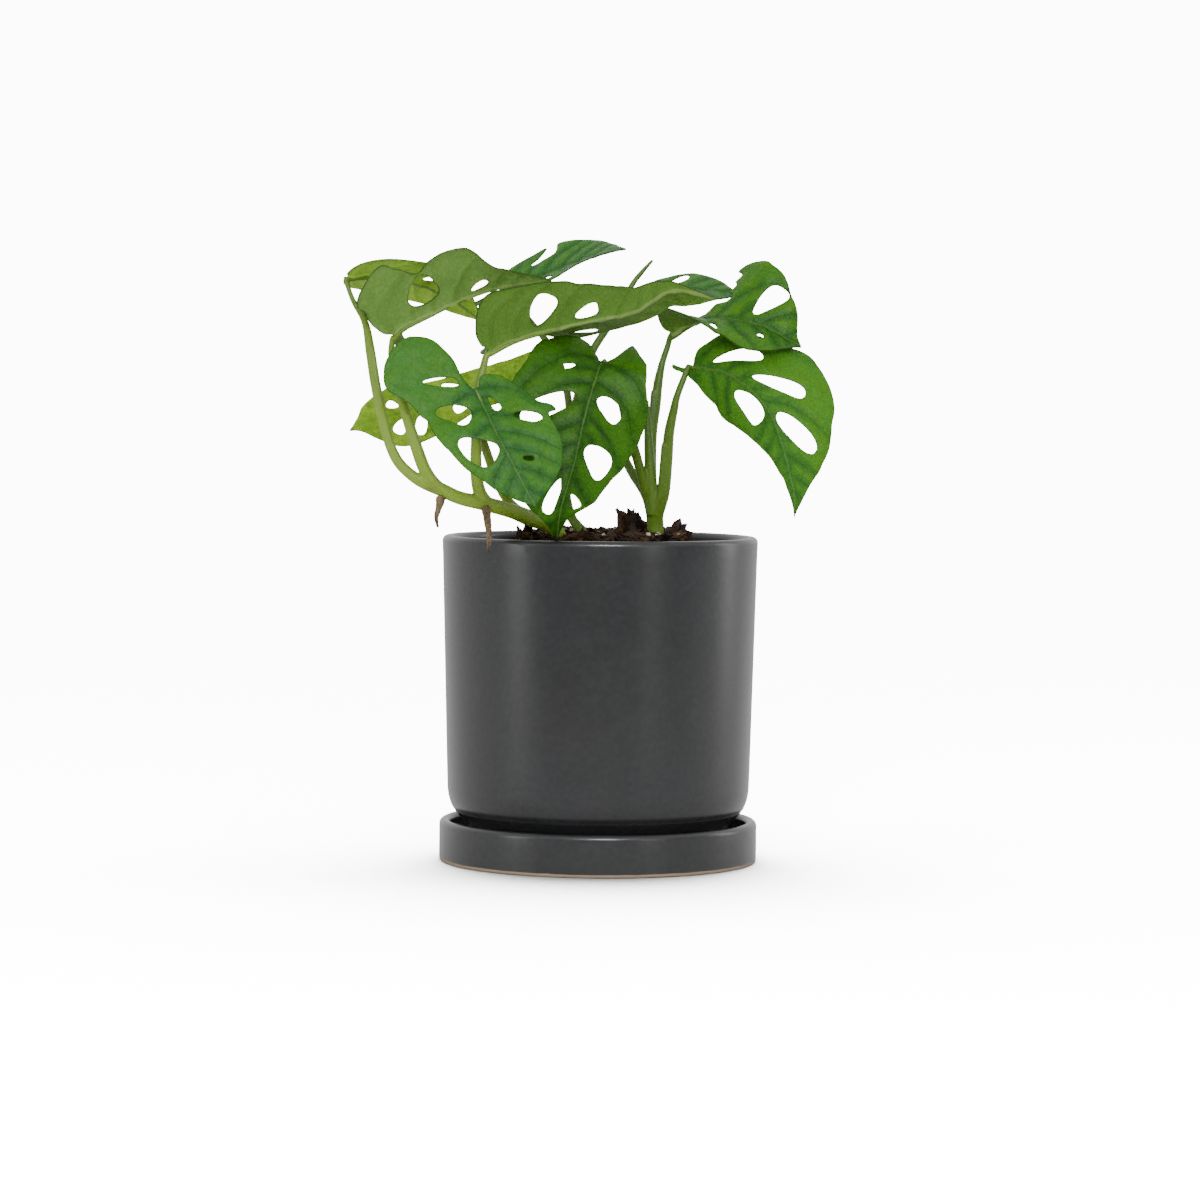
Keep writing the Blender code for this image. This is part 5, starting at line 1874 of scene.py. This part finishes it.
# The upright stem at the right with its sheathed petioles.
CROWN = (
    Stalk(
        points=(
            (22.4, -5.7, 117), (22.4, -5.7, 129), (22.7, -6, 136), (22.2, -6.5, 143), (21.8, -7, 150),
        ),
        radii=(3.0, 3.6, 3.4, 3.3, 2.6),
    ),
    Stalk(
        points=(
            (22.9, -6, 136), (23.4, -8, 143), (25.9, -10, 152.4), (27, -12, 165.6), (27.7, -14, 176.6),
            (29.6, -15, 186.4), (30.8, -15, 191.8), (33.2, -14, 198.3), (35.3, -12.4, 203.9),
        ),
        radii=(2.6, 2.4, 2.3, 2.2, 2.0, 1.6, 1.3, 1.2, 1.0),
        sheath=0.55,
        side=(-0.75, -0.6, 0),
        leaf="leaf_front_right",
    ),
    Stalk(
        points=(
            (22.5, -6, 138), (21.1, -5, 147), (20.6, -3, 162.5), (20.9, -1, 176.4), (22.4, 0, 188),
            (23.2, 1, 196.6), (24.8, 2, 205), (27.2, 3.2, 212.7), (28.3, 3.9, 217.3),
        ),
        radii=(2.6, 2.2, 2.1, 2.0, 1.9, 1.8, 1.3, 1.1, 1.0),
        sheath=0.72,
        side=(-0.8, -0.55, 0),
        leaf="leaf_upper_right",
    ),
    Stalk(
        points=(
            (22, -6.5, 138), (19.4, -8, 149), (14.3, -14, 167.6), (10.5, -20, 179.8), (7.5, -27, 192),
            (4, -31.5, 200), (1, -35.3, 205.6),
        ),
        radii=(2.2, 1.9, 1.8, 1.7, 1.6, 1.3, 1.0),
        leaf="leaf_front_centre",
    ),
    Stalk(
        points=(
            (22.3, -4.5, 138), (18.5, 0, 150.9), (12.9, 6, 159.8), (5.7, 14, 173.2), (-3.9, 21, 187.6),
            (-11.5, 25, 197), (-16.9, 26.1, 201.2),
        ),
        radii=(2.0, 1.8, 1.7, 1.6, 1.5, 1.3, 1.0),
        leaf="leaf_low_back",
    ),
    Stalk(
        points=((21.5, -8.5, 143), (20.5, -9.6, 157.3), (19.4, -9, 173.6), (18.4, -7.5, 190)),
        radii=(2.6, 2.3, 1.7, 0.7),
    ),
)

# The stem behind the middle leaf: it carries two leaves at the back and a young rolled one.
BACK_STEM = (
    Stalk(
        points=(
            (-6.7, -14.1, 117), (-6.7, -14.1, 127), (-6.9, -14, 134.5), (-9, -12.4, 138),
            (-12, -10, 142), (-14.2, -6, 151), (-14.4, -2, 165), (-12, 2, 181.5), (-8.5, 6, 196),
            (-4, 10, 209.6), (2.4, 15, 220), (8.5, 22, 229.5), (13, 28.6, 234), (17.7, 30, 236.4),
        ),
        radii=(1.7, 1.8, 1.9, 1.9, 1.8, 1.8, 1.7, 1.7, 1.6, 1.5, 1.4, 1.2, 1.1, 0.9),
        leaf="leaf_right_back",
    ),
    Stalk(
        points=(
            (-12.5, 1.5, 179), (-14.5, 12, 194), (-19, 24, 208), (-29, 36, 221), (-38, 43.5, 230.5),
            (-42.3, 46.2, 234.1),
        ),
        radii=(1.5, 1.4, 1.3, 1.2, 1.1, 0.9),
        leaf="leaf_top_back",
    ),
    Stalk(
        points=((8, 20, 229), (12.5, 21.5, 238), (16.8, 22.5, 243.6), (20.9, 23.5, 248.2)),
        radii=(1.2, 1.0, 0.8, 0.4),
    ),
)

# Aerial roots, each hanging from a joint of the leaning stem.
ROOTS = (
    AerialRoot("aerial_root_left", Stalk(
        points=((-63.5, -56.4, 150.6), (-64.2, -57.8, 147), (-65.2, -59, 143), (-64.5, -60, 138.9)),
        radii=(1.6, 1.2, 0.9, 0.5),
    )),
    AerialRoot("aerial_root_right", Stalk(
        points=(
            (-45.6, -51.9, 146.1), (-45, -57.5, 142.2), (-44.3, -63, 138), (-44, -67.6, 133.4),
            (-44.4, -68.5, 128.7),
        ),
        radii=(1.5, 1.3, 1.1, 0.9, 0.5),
    )),
)

# The large pieces of bark on the root ball: place, size and turn in degrees.
CLUMPS = (
    ((-30.5, -8, 129), (4, 8, 18), (6, -4, 20)),
    ((13.5, 8, 135), (11, 8, 13), (10, 12, 30)),
    ((33, -3, 132), (10, 11, 13), (-8, 14, 15)),
)

# The joints of the leaning stem and of the crown: place and the reach of the worn ring.
VINE_SCARS = (((-66.5, -56.5, 155.5), 2.6), ((-47, -50, 148.6), 2.2), ((-29.5, -34, 142.4), 2.4))
CROWN_SCARS = (((22.4, -5.7, 133), 3.2), ((22.6, -6, 138), 1.8))


def main() -> None:
    """Builds and dresses every piece, from the ground up."""
    logging.basicConfig(level=logging.INFO, format="%(name)s: %(message)s")
    Studio().build()
    Saucer().dress()
    Pot().dress()
    SoilBed(clumps=CLUMPS).dress()
    keels = {leaf.name: leaf.keel() for leaf in LEAVES}
    Stem("vine", VINE, VINE_SCARS, keels).dress()
    Stem("crown", CROWN, CROWN_SCARS, keels, look=GREEN_STEM).dress()
    Stem("back_stem", BACK_STEM, (), keels, look=GREEN_STEM).dress()
    for root in ROOTS:
        root.dress()
    for leaf in LEAVES:
        leaf.dress()


if __name__ == "__main__":
    main()
